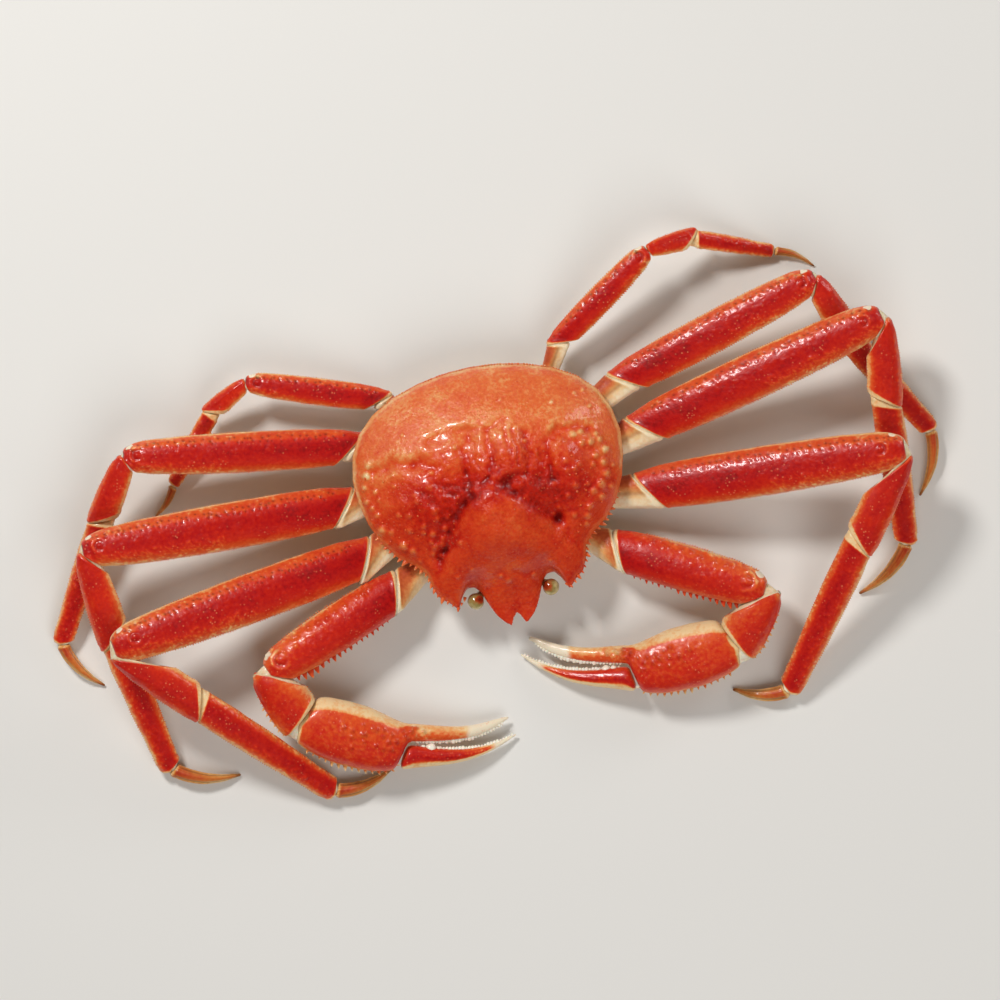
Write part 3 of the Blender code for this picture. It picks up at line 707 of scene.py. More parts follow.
def dressSkin(skin, look):
    # colour shares and relief of one segment
    u, v, w, s, left = (skin[key] for key in ("u", "v", "w", "s", "left"))
    world = toWorld(skin, skin["spots"]).reshape(-1, 3)
    tone = np.interp(v, *zip(*look["across"]))
    if "acrossFar" in look:
        tone = blend(tone, np.interp(v, *zip(*look["acrossFar"])), smoothStep(u, *look["change"]))
    if "along" in look:
        tone = tone + np.interp(u, *zip(*look["along"]))
    tone = blend(tone, look["under"], smoothStep(-skin["normal"][:, :, 2], 0.05, 0.75))
    hollow, pale, lift = np.zeros(u.shape), np.zeros(u.shape), np.zeros(u.shape)
    for degrees, wide, height in look.get("ridges", ()):
        turned = (skin["angle"] - math.radians(degrees) + math.pi) % (2 * math.pi) - math.pi
        ends = smoothStep(u, 0.02, 0.12) * smoothStep(1 - u, 0.02, 0.1)
        lift += height * ends * bell(turned, math.radians(wide))
        # painted shade: a groove cut by a ridge below 0 is darkened
        if height < 0:
            hollow += 0.45 * ends * bell(turned, math.radians(wide * 0.8))
    rows, beads = look.get("rows", ()), look.get("beads", ())
    studs = [(rowPlaces(skin, at, spacing, span), *shape) for at, spacing, *shape, span in rows]
    studs += [(scatterPlaces(skin, many, *spans), *shape) for many, *shape, spans in beads]
    for places, radius, height, mark in studs:
        up, blob = bumpsAt(skin, places, radius, height)
        lift += up
        hollow += blob * max(mark, 0)
        # paler tubercles: partly their own colour, partly a painted highlight on the bumps
        tone += blob * min(mark, 0)
    # cream edges where the segment meets its joints
    for label, gap, height in (("nearRim", s, 0.25), ("farRim", left, 0.3)):
        if label in look:
            depth, slant, value = look[label]
            tone = blend(tone, value, smoothStep(depth + slant * v - gap, -0.5, 0.5))
            lift += height * bell(gap - depth - slant * v, 0.9)
    if "knee" in look:
        dressKnee(skin, look, lift, hollow, pale, tone)
    if "darkTip" in look:
        hollow += look["darkTip"][1] * smoothStep(u, look["darkTip"][0], 1.0)
    if "whiteFrom" in look:
        low, high, most = look["whiteFrom"]
        pale += most * smoothStep(u, low, high)
    if "streaks" in look:  # long streaks, other ones on each segment
        thread = np.stack([s.ravel() * 0.08, v.ravel() * 6, w.ravel() * 6], 1)
        wave = grain(thread, 1.0, len(skin["name"]) * 0.7).reshape(u.shape)
        tone += look["streaks"] * wave
        lift += 0.15 * wave
    lift += look.get("swellBy", 0.22) * grain(world, 7.0, 1.0).reshape(u.shape)
    lift += 0.05 * grain(world, 1.7, 5.0).reshape(u.shape)
    # relief fades at the two poles
    lift *= smoothStep(s, 0.0, 1.2) * smoothStep(left, 0.0, 1.2)
    skin["spots"] = skin["spots"] + skin["normal"] * lift[:, :, None]
    skin["tone"], skin["hollow"], skin["pale"] = tone, np.clip(hollow, 0, 1), pale


def tubeFaces(rows, spokes, flip):
    # quads round a tube and a fan at each end; the two poles are its last points
    i, j = np.meshgrid(np.arange(rows - 1), np.arange(spokes), indexing="ij")
    a = i * spokes + j
    b = i * spokes + (j + 1) % spokes
    faces = np.stack([a, b, b + spokes, a + spokes], -1).reshape(-1, 4).tolist()
    ring = np.arange(spokes)
    after = (ring + 1) % spokes
    pole = np.full(spokes, rows * spokes)
    last = (rows - 1) * spokes
    faces += np.stack([after, ring, pole], 1).tolist()
    faces += np.stack([last + ring, last + after, pole + 1], 1).tolist()
    return [face[::-1] for face in faces] if flip < 0 else faces


def closeSkin(name, skin):
    # the grid as a closed mesh; each end has a shallow dished face
    rows, spokes = skin["s"].shape
    rings, poles = [], []
    for rim, dish in ((skin["spots"][0], 0.35), (skin["spots"][-1], -0.35)):
        centre = rim.mean(axis=0)
        pole = centre + np.array([dish, 0, 0])
        rings.append([pole + (rim - centre) * share for share in (0.8, 0.45)])
        poles.append(pole)
    spots = np.concatenate([rings[0][::-1], skin["spots"], rings[1]])
    marks = {}
    for label in ("tone", "hollow", "pale"):
        grid = skin[label]
        grid = np.concatenate([grid[:1].repeat(2, 0), grid, grid[-1:].repeat(2, 0)])
        marks[label] = np.concatenate([grid.ravel(), [grid[0].mean(), grid[-1].mean()]])
    points = np.vstack([spots.reshape(-1, 3), *poles])
    return addMesh(name, toWorld(skin, points), tubeFaces(rows + 4, spokes, skin["flip"]), marks)


def lineOn(skin, degrees, span, size, tilt):
    # a line on the skin at this angle, with outward directions, for a row of teeth
    j = int(round(degrees / 360 * skin["s"].shape[1])) % skin["s"].shape[1]
    keep = (skin["u"][:, j] > span[0]) & (skin["u"][:, j] < span[1])
    away = skin["normal"][keep, j] + np.array([tilt, 0, 0])
    share = (skin["u"][keep, j] - span[0]) / (span[1] - span[0])
    sizes = size * (0.55 + 0.45 * np.sin(math.pi * np.clip(share, 0.08, 0.92)))
    return toWorld(skin, skin["spots"][keep, j]), away @ skin["frame"], sizes


# v runs from -1 at the inner edge to 1 at the outer one, u from 0 at the near end to 1 at the far end
# across, along: tone by v, and what is added to it by u; under: tone below
# ridges: degrees, width in degrees, height; rows: degrees, spacing, radius, height, mark, span of u
# beads: how many, radius, height, mark, spans of v and u; a mark above 0 darkens, below 0 pales the bumps,
# partly their paler colour and partly a painted highlight
# rims: depth, slant, tone; knee: how far back the patch and the knob are, and the knob's size
# teeth: row, degrees, span of u, size, tilt
ischiumLook = {
    "spacing": 0.8,
    "spokes": 56,
    "round": (0.6, 0.8),
    "across": ((-1, 0.0), (-0.55, 0.08), (-0.2, 0.28), (0.1, 0.56), (0.5, 0.84), (0.85, 0.86), (1, 0.5)),
    "under": 0.05,
    "ridges": ((150, 12, 0.5), (100, 14, -0.35)),
    "farRim": (1.0, -0.7, 0.0),
}
segmentLook = {"spacing": 0.62, "spokes": 68, "under": 0.12}
fringe = (("serration", 172, (0.08, 0.92), 0.26, 0.3), ("serration", 6, (0.08, 0.92), 0.24, 0.3))
clawFringe = ("serration", 4, (0.2, 0.93), 0.4, 0.2)
limbLooks = {
    "ischium": ischiumLook,
    "merus": segmentLook
    | {
        "spokes": 76,
        "round": (0.8, 1.2),
        "across": ((-1, 0.2), (-0.96, 0.2), (-0.86, 0.34), (-0.68, 0.52), (-0.45, 0.68), (-0.1, 0.78))
        + ((0.3, 0.76), (0.48, 0.60), (0.64, 0.40), (0.93, 0.32), (0.985, 0.06), (1, 0.0)),
        "along": ((0, 0.1), (0.12, 0.05), (0.8, 0.0), (0.93, -0.05), (1, -0.02)),
        "ridges": ((6, 7, 0.45), (172, 9, 0.3)),
        "rows": (
            (33, 2.3, 0.6, -0.4, 0.7, (0.06, 0.92)),
            (47, 2.6, 0.55, -0.35, 0.6, (0.08, 0.9)),
            (24, 3.1, 0.7, 0.35, -0.12, (0.06, 0.92)),
            (40, 3.4, 0.6, 0.3, -0.14, (0.1, 0.9)),
        ),
        "beads": (
            (6, 0.55, 0.18, -0.2, ((-0.98, -0.5), (0.35, 0.95))),
            (4, 0.6, 0.14, -0.1, ((-0.6, 0.6), (0.25, 0.95))),
        ),
        "nearRim": (0.9, 0.0, 0.02),
        "knee": (2.2, 4.6, 2.3),
        "swellBy": 0.12,
        "teeth": (("serration", 176, (0.06, 0.93), 0.34, 0.3), ("serration", 6, (0.1, 0.92), 0.24, 0.3)),
    },
    "carpus": segmentLook
    | {
        "round": (1.0, 0.8),
        "across": ((-1, 0.05), (-0.85, 0.25), (-0.6, 0.52), (-0.2, 0.64))
        + ((0.3, 0.70), (0.7, 0.58), (0.9, 0.40), (1, 0.2)),
        "ridges": ((8, 8, 0.3), (172, 9, 0.3), (60, 12, 0.25)),
        "rows": ((26, 2.2, 0.6, 0.3, -0.12, (0.1, 0.9)),),
        "beads": ((7, 0.5, 0.16, -0.08, ((-0.95, 0.95), (0.1, 0.95))),),
        "nearRim": (0.5, 0.2, 0.3),
        "farRim": (1.6, -1.6, 0.02),
        "teeth": fringe,
    },
    "propodus": segmentLook
    | {
        "round": (0.8, 1.0),
        "across": ((-1, 0.2), (-0.9, 0.30), (-0.72, 0.46), (-0.5, 0.70), (-0.1, 0.78))
        + ((0.3, 0.72), (0.6, 0.52), (0.85, 0.26), (1, 0.06)),
        "ridges": ((8, 8, 0.3), (170, 9, 0.3)),
        "rows": ((160, 1.7, 0.6, 0.4, -0.16, (0.04, 0.95)), (146, 2.1, 0.5, 0.25, -0.1, (0.04, 0.9))),
        "beads": (
            (5, 0.6, 0.22, -0.16, ((0.3, 0.95), (0.05, 0.95))),
            (3, 0.6, 0.2, -0.06, ((-0.8, 0.3), (0.05, 0.95))),
        ),
        "nearRim": (2.0, -1.6, 0.02),
        "farRim": (1.2, 0.6, 0.1),
        "teeth": fringe,
    },
    "dactyl": {
        "spacing": 0.5,
        "spokes": 56,
        "round": (1.0, 0.4),
        "soft": 1.6,
        "across": ((-1, 0.1), (-0.5, 0.35), (0, 0.5), (0.4, 0.42), (0.8, 0.2), (1, 0.05)),
        "along": ((0, 0.25), (0.3, 0.1), (0.7, -0.05), (1, 0.0)),
        "under": 0.2,
        "ridges": ((40, 12, -0.3), (90, 10, 0.25), (140, 12, -0.3)),
        "streaks": 0.22,
        "darkTip": (0.86, 0.7),
        "nearRim": (1.0, 0.0, 0.1),
        "swellBy": 0.1,
    },
    "claw_ischium": ischiumLook
    | {
        "across": ((-1, 0.06), (-0.6, 0.2), (-0.2, 0.6), (0.3, 0.85), (0.8, 0.8), (1, 0.4)),
        "under": 0.1,
        "ridges": ((120, 14, 0.4),),
        "farRim": (1.3, -0.4, 0.0),
    },
    "claw_merus": {
        "spacing": 0.6,
        "spokes": 84,
        "round": (0.8, 1.4),
        "across": ((-1, 0.3), (-0.8, 0.52), (-0.4, 0.70), (0.1, 0.68), (0.4, 0.5))
        + ((0.7, 0.40), (0.93, 0.34), (0.985, 0.06), (1, 0.0)),
        "along": ((0, 0.22), (0.15, 0.12), (0.4, 0.05), (0.8, -0.05), (1, -0.14)),
        "under": 0.14,
        "ridges": ((6, 7, 0.4),),
        "rows": (
            (42, 4.2, 0.95, 0.95, 0.1, (0.14, 0.95)),
            (22, 3.6, 0.85, 0.85, -0.16, (0.1, 0.95)),
            (64, 5.2, 0.8, 0.45, -0.1, (0.4, 0.95)),
        ),
        "beads": ((7, 0.5, 0.16, -0.12, ((-0.9, 0.6), (0.2, 0.98))),),
        "nearRim": (1.2, 0.5, 0.0),
        "knee": (2.4, 5.4, 3.2),
        "swellBy": 0.16,
        "teeth": (
            ("armSpines", 178, (0.08, 0.45), 0.75, 0.25),
            ("armSpines", 178, (0.45, 0.72), 1.15, 0.25),
            ("armSpines", 178, (0.72, 0.94), 1.7, 0.25),
            clawFringe,
        ),
    },
    "claw_carpus": {
        "spacing": 0.6,
        "spokes": 80,
        "round": (1.2, 0.8),
        "across": ((-1, 0.05), (-0.8, 0.28), (-0.3, 0.5), (0.3, 0.6), (0.8, 0.5), (0.95, 0.25), (1, 0.05)),
        "under": 0.14,
        "ridges": ((10, 8, 0.4),),
        "rows": ((30, 3.8, 0.9, 0.5, -0.14, (0.1, 0.95)), (56, 4.6, 0.8, 0.35, -0.1, (0.2, 0.9))),
        "beads": ((8, 0.5, 0.18, -0.08, ((-0.6, 0.98), (0.1, 0.95))),),
        "nearRim": (0.8, 0.4, 0.3),
        "farRim": (1.5, -1.0, 0.02),
        "swellBy": 0.12,
        "teeth": (*fringe, ("palmSpines", 4, (0.25, 0.95), 0.7, 0.3)),
    },
    "palm": {
        "spacing": 0.6,
        "spokes": 90,
        "round": (0.9, 0.4),
        "soft": 1.3,
        "across": ((-1, 0.0), (-0.74, 0.02), (-0.64, 0.12), (-0.58, 0.36), (-0.2, 0.46))
        + ((0.3, 0.52), (0.8, 0.56), (0.95, 0.36), (1, 0.08)),
        "acrossFar": ((-1, 0.0), (-0.3, 0.06), (0.3, 0.22), (1, 0.28)),  # the fixed finger's
        "change": (0.50, 0.58),
        "along": ((0, -0.12), (0.06, 0.0), (0.5, 0.04), (0.62, 0.12), (0.8, 0.0), (0.86, -0.2), (1, -0.3)),
        "under": 0.08,
        "rows": (
            (120, 2.9, 0.75, 0.9, 0.3, (0.22, 0.46)),
            (100, 3.2, 0.85, 1.0, 0.3, (0.16, 0.47)),
            (78, 3.8, 0.8, 0.8, 0.2, (0.2, 0.47)),
            (54, 4.6, 0.7, 0.5, 0.1, (0.14, 0.45)),
        ),
        "beads": ((8, 0.55, 0.2, -0.1, ((-0.5, 0.9), (0.08, 0.5))),),
        "whiteFrom": (0.74, 0.86, 0.95),
        "nearRim": (1.4, -1.0, 0.0),
        "swellBy": 0.1,
        "teeth": (("palmSpines", 2, (0.05, 0.48), 0.95, 0.2), ("fingerTeeth", 8, (0.56, 0.97), 1.15, 0.1)),
    },
    "movable_finger": {
        "spacing": 0.5,
        "spokes": 64,
        "round": (1.2, 0.4),
        "soft": 1.3,
        "across": ((-1, 0.4), (-0.5, 0.66), (0.1, 0.82), (0.36, 0.66), (0.52, 0.3), (0.66, 0.05), (1, 0.0)),
        "along": ((0, -0.2), (0.1, 0.0), (0.5, -0.05), (0.7, -0.35), (0.9, -0.7), (1, -0.9)),
        "under": 0.04,
        "rows": ((92, 1.5, 0.4, 0.22, -0.3, (0.12, 0.7)), (74, 1.9, 0.4, 0.2, 0.3, (0.2, 0.6))),
        "whiteFrom": (0.66, 0.92, 0.9),
        "streaks": 0.1,
        "swellBy": 0.1,
        "teeth": (("fingerTeeth", 172, (0.16, 0.97), 1.05, 0.1), ("molars", 170, (0.2, 0.34), 2.1, 0.3)),
    },
}
limbFinish = {
    "ischium": (baseShell, "leg_base_shell"),
    "merus": (limbShell, "limb_shell"),
    "carpus": (limbShell, "limb_shell"),
    "propodus": (limbShell, "limb_shell"),
    "dactyl": (tipShell, "leg_tip_shell"),
    "palm": (limbShell, "claw_shell"),
    "movable_finger": (limbShell, "finger_shell"),
}
legSteps = ("ischium", "merus", "carpus", "propodus", "dactyl")
clawSteps = ("ischium", "merus", "carpus", "palm", "movable_finger")
toothLines = {"serration": [], "armSpines": [], "palmSpines": [], "fingerTeeth": [], "molars": []}


# overlap with the segments in mm; the rest are shares of the rim's width
padLook = {"spokes": 72, "overlap": 1.2, "tucked": 0.8, "bulge": 0.03, "wrinkle": 0.03, "folds": 1.1}


def jointPad(near, far, seed):
    # a band of soft, folded skin from the rim of one segment to the rim of the next
    spokes = padLook["spokes"]
    turn = np.arange(spokes) * 2 * math.pi / spokes
    rims = []
    for skin, end in ((near, -1), (far, 0)):
        rim = toWorld(skin, skin["spots"][end])
        angles = skin["angle"][0]
        rims.append(np.stack([np.interp(turn, angles, rim[:, k], period=2 * math.pi) for k in range(3)], 1))
    rings = []
    for share in (-1, 0, 0.2, 0.4, 0.6, 0.8, 1, 2):  # the first and the last are tucked into the segments
        ring = blend(rims[0], rims[1], np.clip(share, 0, 1))
        if share < 0:
            ring = ring - near["frame"][0] * padLook["overlap"]
        if share > 1:
            ring = ring + far["frame"][0] * padLook["overlap"]
        middle = ring.mean(axis=0)
        size = padLook["tucked"] if share in (-1, 2) else 1.0 + padLook["bulge"] * math.sin(math.pi * share)
        rings.append(middle + (ring - middle) * size)
    shape = np.array(rings)
    flattened = shape.reshape(-1, 3) * np.array([1.0, 1.0, 0.6])
    wrinkle = grain(flattened, padLook["folds"], seed).reshape(shape.shape[:2])
    middles = shape.mean(axis=1, keepdims=True)
    shape = middles + (shape - middles) * (1 + padLook["wrinkle"] * wrinkle)[:, :, None]
    points = np.vstack([shape.reshape(-1, 3), middles[0], middles[-1]])
    # painted shade: the skin is darker at sharply bent joints and in its sunken wrinkles, and paler on its
    # raised ones
    folded = 1 - near["frame"][0] @ far["frame"][0] > 0.8
    tones = np.append((0.3 if folded else 0.1) - 0.3 * wrinkle.ravel(), [0.2, 0.2])
    return points, tubeFaces(len(rings), spokes, near["flip"]), tones


def buildLimb(side, limb):
    flip = 1 if side == "left" else -1
    steps = clawSteps if limb == "claw" else legSteps
    names = [f"{side}_{limb}_{step}" for step in steps]
    nearFaces = [cutFace(name, last) for name, last in zip(names, ["body_underside"] + names[:-1])]
    farFaces = [cutFace(name, following) for name, following in zip(names, names[1:])]
    skins = []
    for k, (name, step) in enumerate(zip(names, steps)):
        start = nearFaces[k]["at"]
        near = None if step == "movable_finger" else nearFaces[k]
        far = None if step in ("dactyl", "palm", "movable_finger") else farFaces[k]
        if far is None:
            spots = trianglesOf(name).reshape(-1, 3)
            end = spots[np.linalg.norm(spots - start, axis=1).argmax()]
        else:
            end = far["at"]
        look = limbLooks[step]
        if limb == "claw":
            look = limbLooks.get("claw_" + step, look)
        skin = skinOf(name, start, end, flip, look, near, far)
        dressSkin(skin, look)
        finish(closeSkin(name + "_shell", skin), *limbFinish[step], name)
        skins.append(skin)
        for row, *place in look.get("teeth", ()):
            toothLines[row].append(lineOn(skin, *place))
    pads = []
    for k in range(1, len(names)):
        near = skins[k - 1]
        if steps[k] == "movable_finger":
            # the finger turns in the palm: the skin runs straight back from its own rim
            shift = np.array([-2.2, 0, 0])
            near = skins[k] | {"spots": skins[k]["spots"][:1] * np.array([1.0, 0.9, 0.9]) + shift}
        pads.append(jointPad(near, skins[k], k + len(side) + len(limb)))
    points, faces, tones = [], [], []
    for spots, some, tone in pads:
        first = sum(len(p) for p in points)
        points.append(spots)
        faces += [tuple(i + first for i in face) for face in some]
        tones.append(tone)
    piece = addMesh(f"{side}_{limb}_joint_skin", np.vstack(points), faces, {"tone": np.concatenate(tones)})
    finish(piece, jointSkin, "leg_base_shell")


for side in ("left", "right"):
    for limb in ("claw", "leg_1", "leg_2", "leg_3", "leg_4"):
        buildLimb(side, limb)
print("limbs skinned")

rowLooks = {  # shape, material, spacing, slot, tones of the base and the tip
    "serration": ("spine", limbShell, 1.15, "limb_shell", (0.36, 0.1)),
    "armSpines": ("spine", limbShell, 2.7, "limb_shell", (0.55, 0.25)),
    "palmSpines": ("spine", limbShell, 2.9, "claw_shell", (0.25, 0.0)),
    "fingerTeeth": ("tooth", toothHorn, 1.45, "finger_shell", (0.1, 0.0)),
    "molars": ("pearl", toothHorn, 2.4, "finger_shell", (0.1, 0.0)),
}
rowParts = ("shape", "material", "spacing", "slot", "tones")
for k, (label, values) in enumerate(rowLooks.items()):
    look = dict(zip(rowParts, values)) | {"seed": 3 + k}
    setBeads(label, rowTree, drawLines(label + "_lines", toothLines[label]), look)
print("rows of teeth set")


# ---------- voxel forms: carapace, belly, flap, mouth ----------
def voxelForm(node, voxel):  # a CAD solid remade as an even quad mesh
    corners = trianglesOf(node).reshape(-1, 3)
    spots, order = np.unique(corners.round(4), axis=0, return_inverse=True)
    faces = order.reshape(-1, 3)
    faces = faces[(faces[:, 0] != faces[:, 1]) & (faces[:, 1] != faces[:, 2]) & (faces[:, 0] != faces[:, 2])]
    piece = addMesh(node + "_voxels", spots, faces.tolist())
    remesh = piece.modifiers.new("voxels", "REMESH")
    remesh.mode = "VOXEL"
    remesh.voxel_size = voxel * mm
    mesh = bpy.data.meshes.new_from_object(piece.evaluated_get(bpy.context.evaluated_depsgraph_get()))
    bpy.data.objects.remove(piece)
    spots = np.empty(len(mesh.vertices) * 3)
    mesh.vertices.foreach_get("co", spots)
    edges = np.empty(len(mesh.edges) * 2, int)
    mesh.edges.foreach_get("vertices", edges)
    faces = [tuple(face.vertices) for face in mesh.polygons]
    bpy.data.meshes.remove(mesh)
    return spots.reshape(-1, 3) / mm, edges.reshape(-1, 2), faces


def relax(values, edges, weights, passes):
    # each value moves towards the mean of its neighbours, by its weight
    count = np.bincount(edges.ravel(), minlength=len(values)).astype(float)
    flat = values.reshape(len(values), -1)
    for _ in range(passes):
        total = np.zeros_like(flat)
        for column in range(flat.shape[1]):
            total[:, column] = np.bincount(edges[:, 0], flat[edges[:, 1], column], len(flat))
            total[:, column] += np.bincount(edges[:, 1], flat[edges[:, 0], column], len(flat))
        flat = flat + (total / count[:, None] - flat) * weights[:, None]
    return flat.reshape(values.shape)


def normalsOf(spots, faces):
    quads = np.array([face if len(face) == 4 else (*face, face[-1]) for face in faces])
    p = spots[quads]
    across = np.cross(p[:, 2] - p[:, 0], p[:, 3] - p[:, 1])
    total = np.zeros_like(spots)
    for k in range(4):
        for column in range(3):
            total[:, column] += np.bincount(quads[:, k], across[:, column], len(spots))
    return total / np.maximum(np.linalg.norm(total, axis=1, keepdims=True), 1e-12)


def lineGap(flat, line):  # distance in plan from each point to a drawn line
    best = np.full(len(flat), 1e9)
    for a, b in zip(line, line[1:]):
        a, b = np.array(a, float), np.array(b, float)
        share = np.clip(((flat - a) @ (b - a)) / ((b - a) @ (b - a)), 0, 1)
        best = np.minimum(best, np.linalg.norm(flat - a - share[:, None] * (b - a), axis=1))
    return best


backLook = {
    "voxel": 0.62,
    "hub": (3.0, 10.0),
    # line, width, depth
    "furrows": (
        (((-51, 17.5), (-42, 19.5), (-29, 18.0), (-25, 15.0)), 2.0, 1.7),
        (((-23, 25.5), (-12, 28.5), (4, 27.0), (9, 29.0)), 1.8, 1.1),
        (((45, 19.0), (33.5, 20.6), (27, 16.4), (25.5, 7.6), (27, 0.0)), 1.9, 1.7),
        (((-7, 24.0), (-8.7, 17.0), (-10.8, 0.0), (-19.8, -9.6), (-24, -20.5), (-28, -24.0)), 3.0, 2.3),
        (((5, 1.0), (12, -5.0), (19, -12.0), (25.4, -17.0)), 2.6, 1.9),
        (((2.5, 25.0), (2.0, 15.0), (0.5, 8.0), (-4.0, 4.0)), 1.8, 1.5),
        (((18, 23.0), (17.5, 12.0), (15, 5.0), (6.0, 3.0)), 1.6, 1.3),
        (((9, 26.0), (10.5, 17.0), (9.5, 8.0)), 0.9, 0.7),
        (((13, 25.0), (14, 17.0), (13, 9.0)), 0.9, 0.6),
        (((-13, -46.0), (-9, -40.0), (-4, -37.0)), 1.8, 0.8),
        (((13, -46.0), (9, -40.0), (4, -37.0)), 1.8, 0.8),
        (((-36, -34.0), (-30, -30.0), (-28, -24.0)), 2.2, 1.2),
        (((34, -34.0), (30, -26.0), (26, -18.0)), 2.2, 1.2),
    ),
    "crests": (
        (((-52, 22.0), (-56, 12.0), (-55, 0.0), (-49, -12.0), (-38, -22.0)), 2.8, 0.9),
        (((38, 19.5), (49, 13.0), (50.5, 2.0), (46, -9.0), (38, -18.0)), 2.8, 1.2),
        (((-1, -1.0), (-10, -5.0), (-19, -14.0), (-29, -20.0)), 2.4, 1.1),
        (((1, -1.0), (10, -8.0), (20, -18.0)), 2.4, 0.8),
        (((-40, 14.0), (-30, 10.0), (-22, 2.0)), 3.2, 0.9),
        (((-46, 2.0), (-34, 2.0), (-26, -6.0)), 3.0, 0.7),
        (((32, 14.0), (38, 6.0), (34, -4.0)), 3.0, 0.7),
    ),
    # oval patches: middle, half width, half depth
    "wetMiddle": (0, 4, 40, 24),
    "brow": (0, -24, 20, 21),
    "bulge": (0, -14, 13, 13),
    "knobHeight": 1.25,
    # size and seed of each noise, and how high each stands where the back is wet and where it isn't
    "grains": {"lumps": (5.0, 4.0), "folds": (3.4, 7.0), "pimples": (1.8, 11.0), "beads": (1.25, 15.0)},
    "wetHeights": (0.7, 0.35, 0.26, 0.2),
    "dryHeights": (0.25, 0.09),
    "pits": ((25.4, -17.0, 2.8, 1.8), (-9.6, 10.8, 2.4, 1.2), (-31.8, 17.5, 2.2, 1.0), (-26, -21, 2.4, 1.2)),
}


def plateau(x, y, patch):  # 1 over an oval patch, falling away at its edge
    atX, atY, wide, deep = patch
    return np.exp(-((((x - atX) / wide) ** 2 + ((y - atY) / deep) ** 2) ** 2))


def backKnobs():
    # blunt tubercles, thick along both crests and over the front lobes, sparse elsewhere
    knobs = []
    for _ in range(9000):
        x, y = dice.uniform(-58, 56), dice.uniform(-44, 40)
        flat = np.array([[x, y]])
        crest = min(lineGap(flat, line)[0] for line, _, _ in backLook["crests"][:2])
        crest = math.exp(-((crest / 2.4) ** 2)) * smoothStep(26 - y, 0, 4)
        lobe = smoothStep(abs(x - 1), 16, 30) * smoothStep(-y, -20, -8) * smoothStep(y, -30, -20)
        crowd = 0.4 * crest + 0.035 * lobe + 0.004
        size = (0.95 + 0.75 * crest + 0.25 * lobe) * dice.uniform(0.65, 1.15)
        if dice.uniform() > crowd or any(math.hypot(x - a, y - b) < 1.3 * (size + c) for a, b, c, _ in knobs):
            continue
        knobs.append((x, y, size, 0.8 * size))
    return knobs


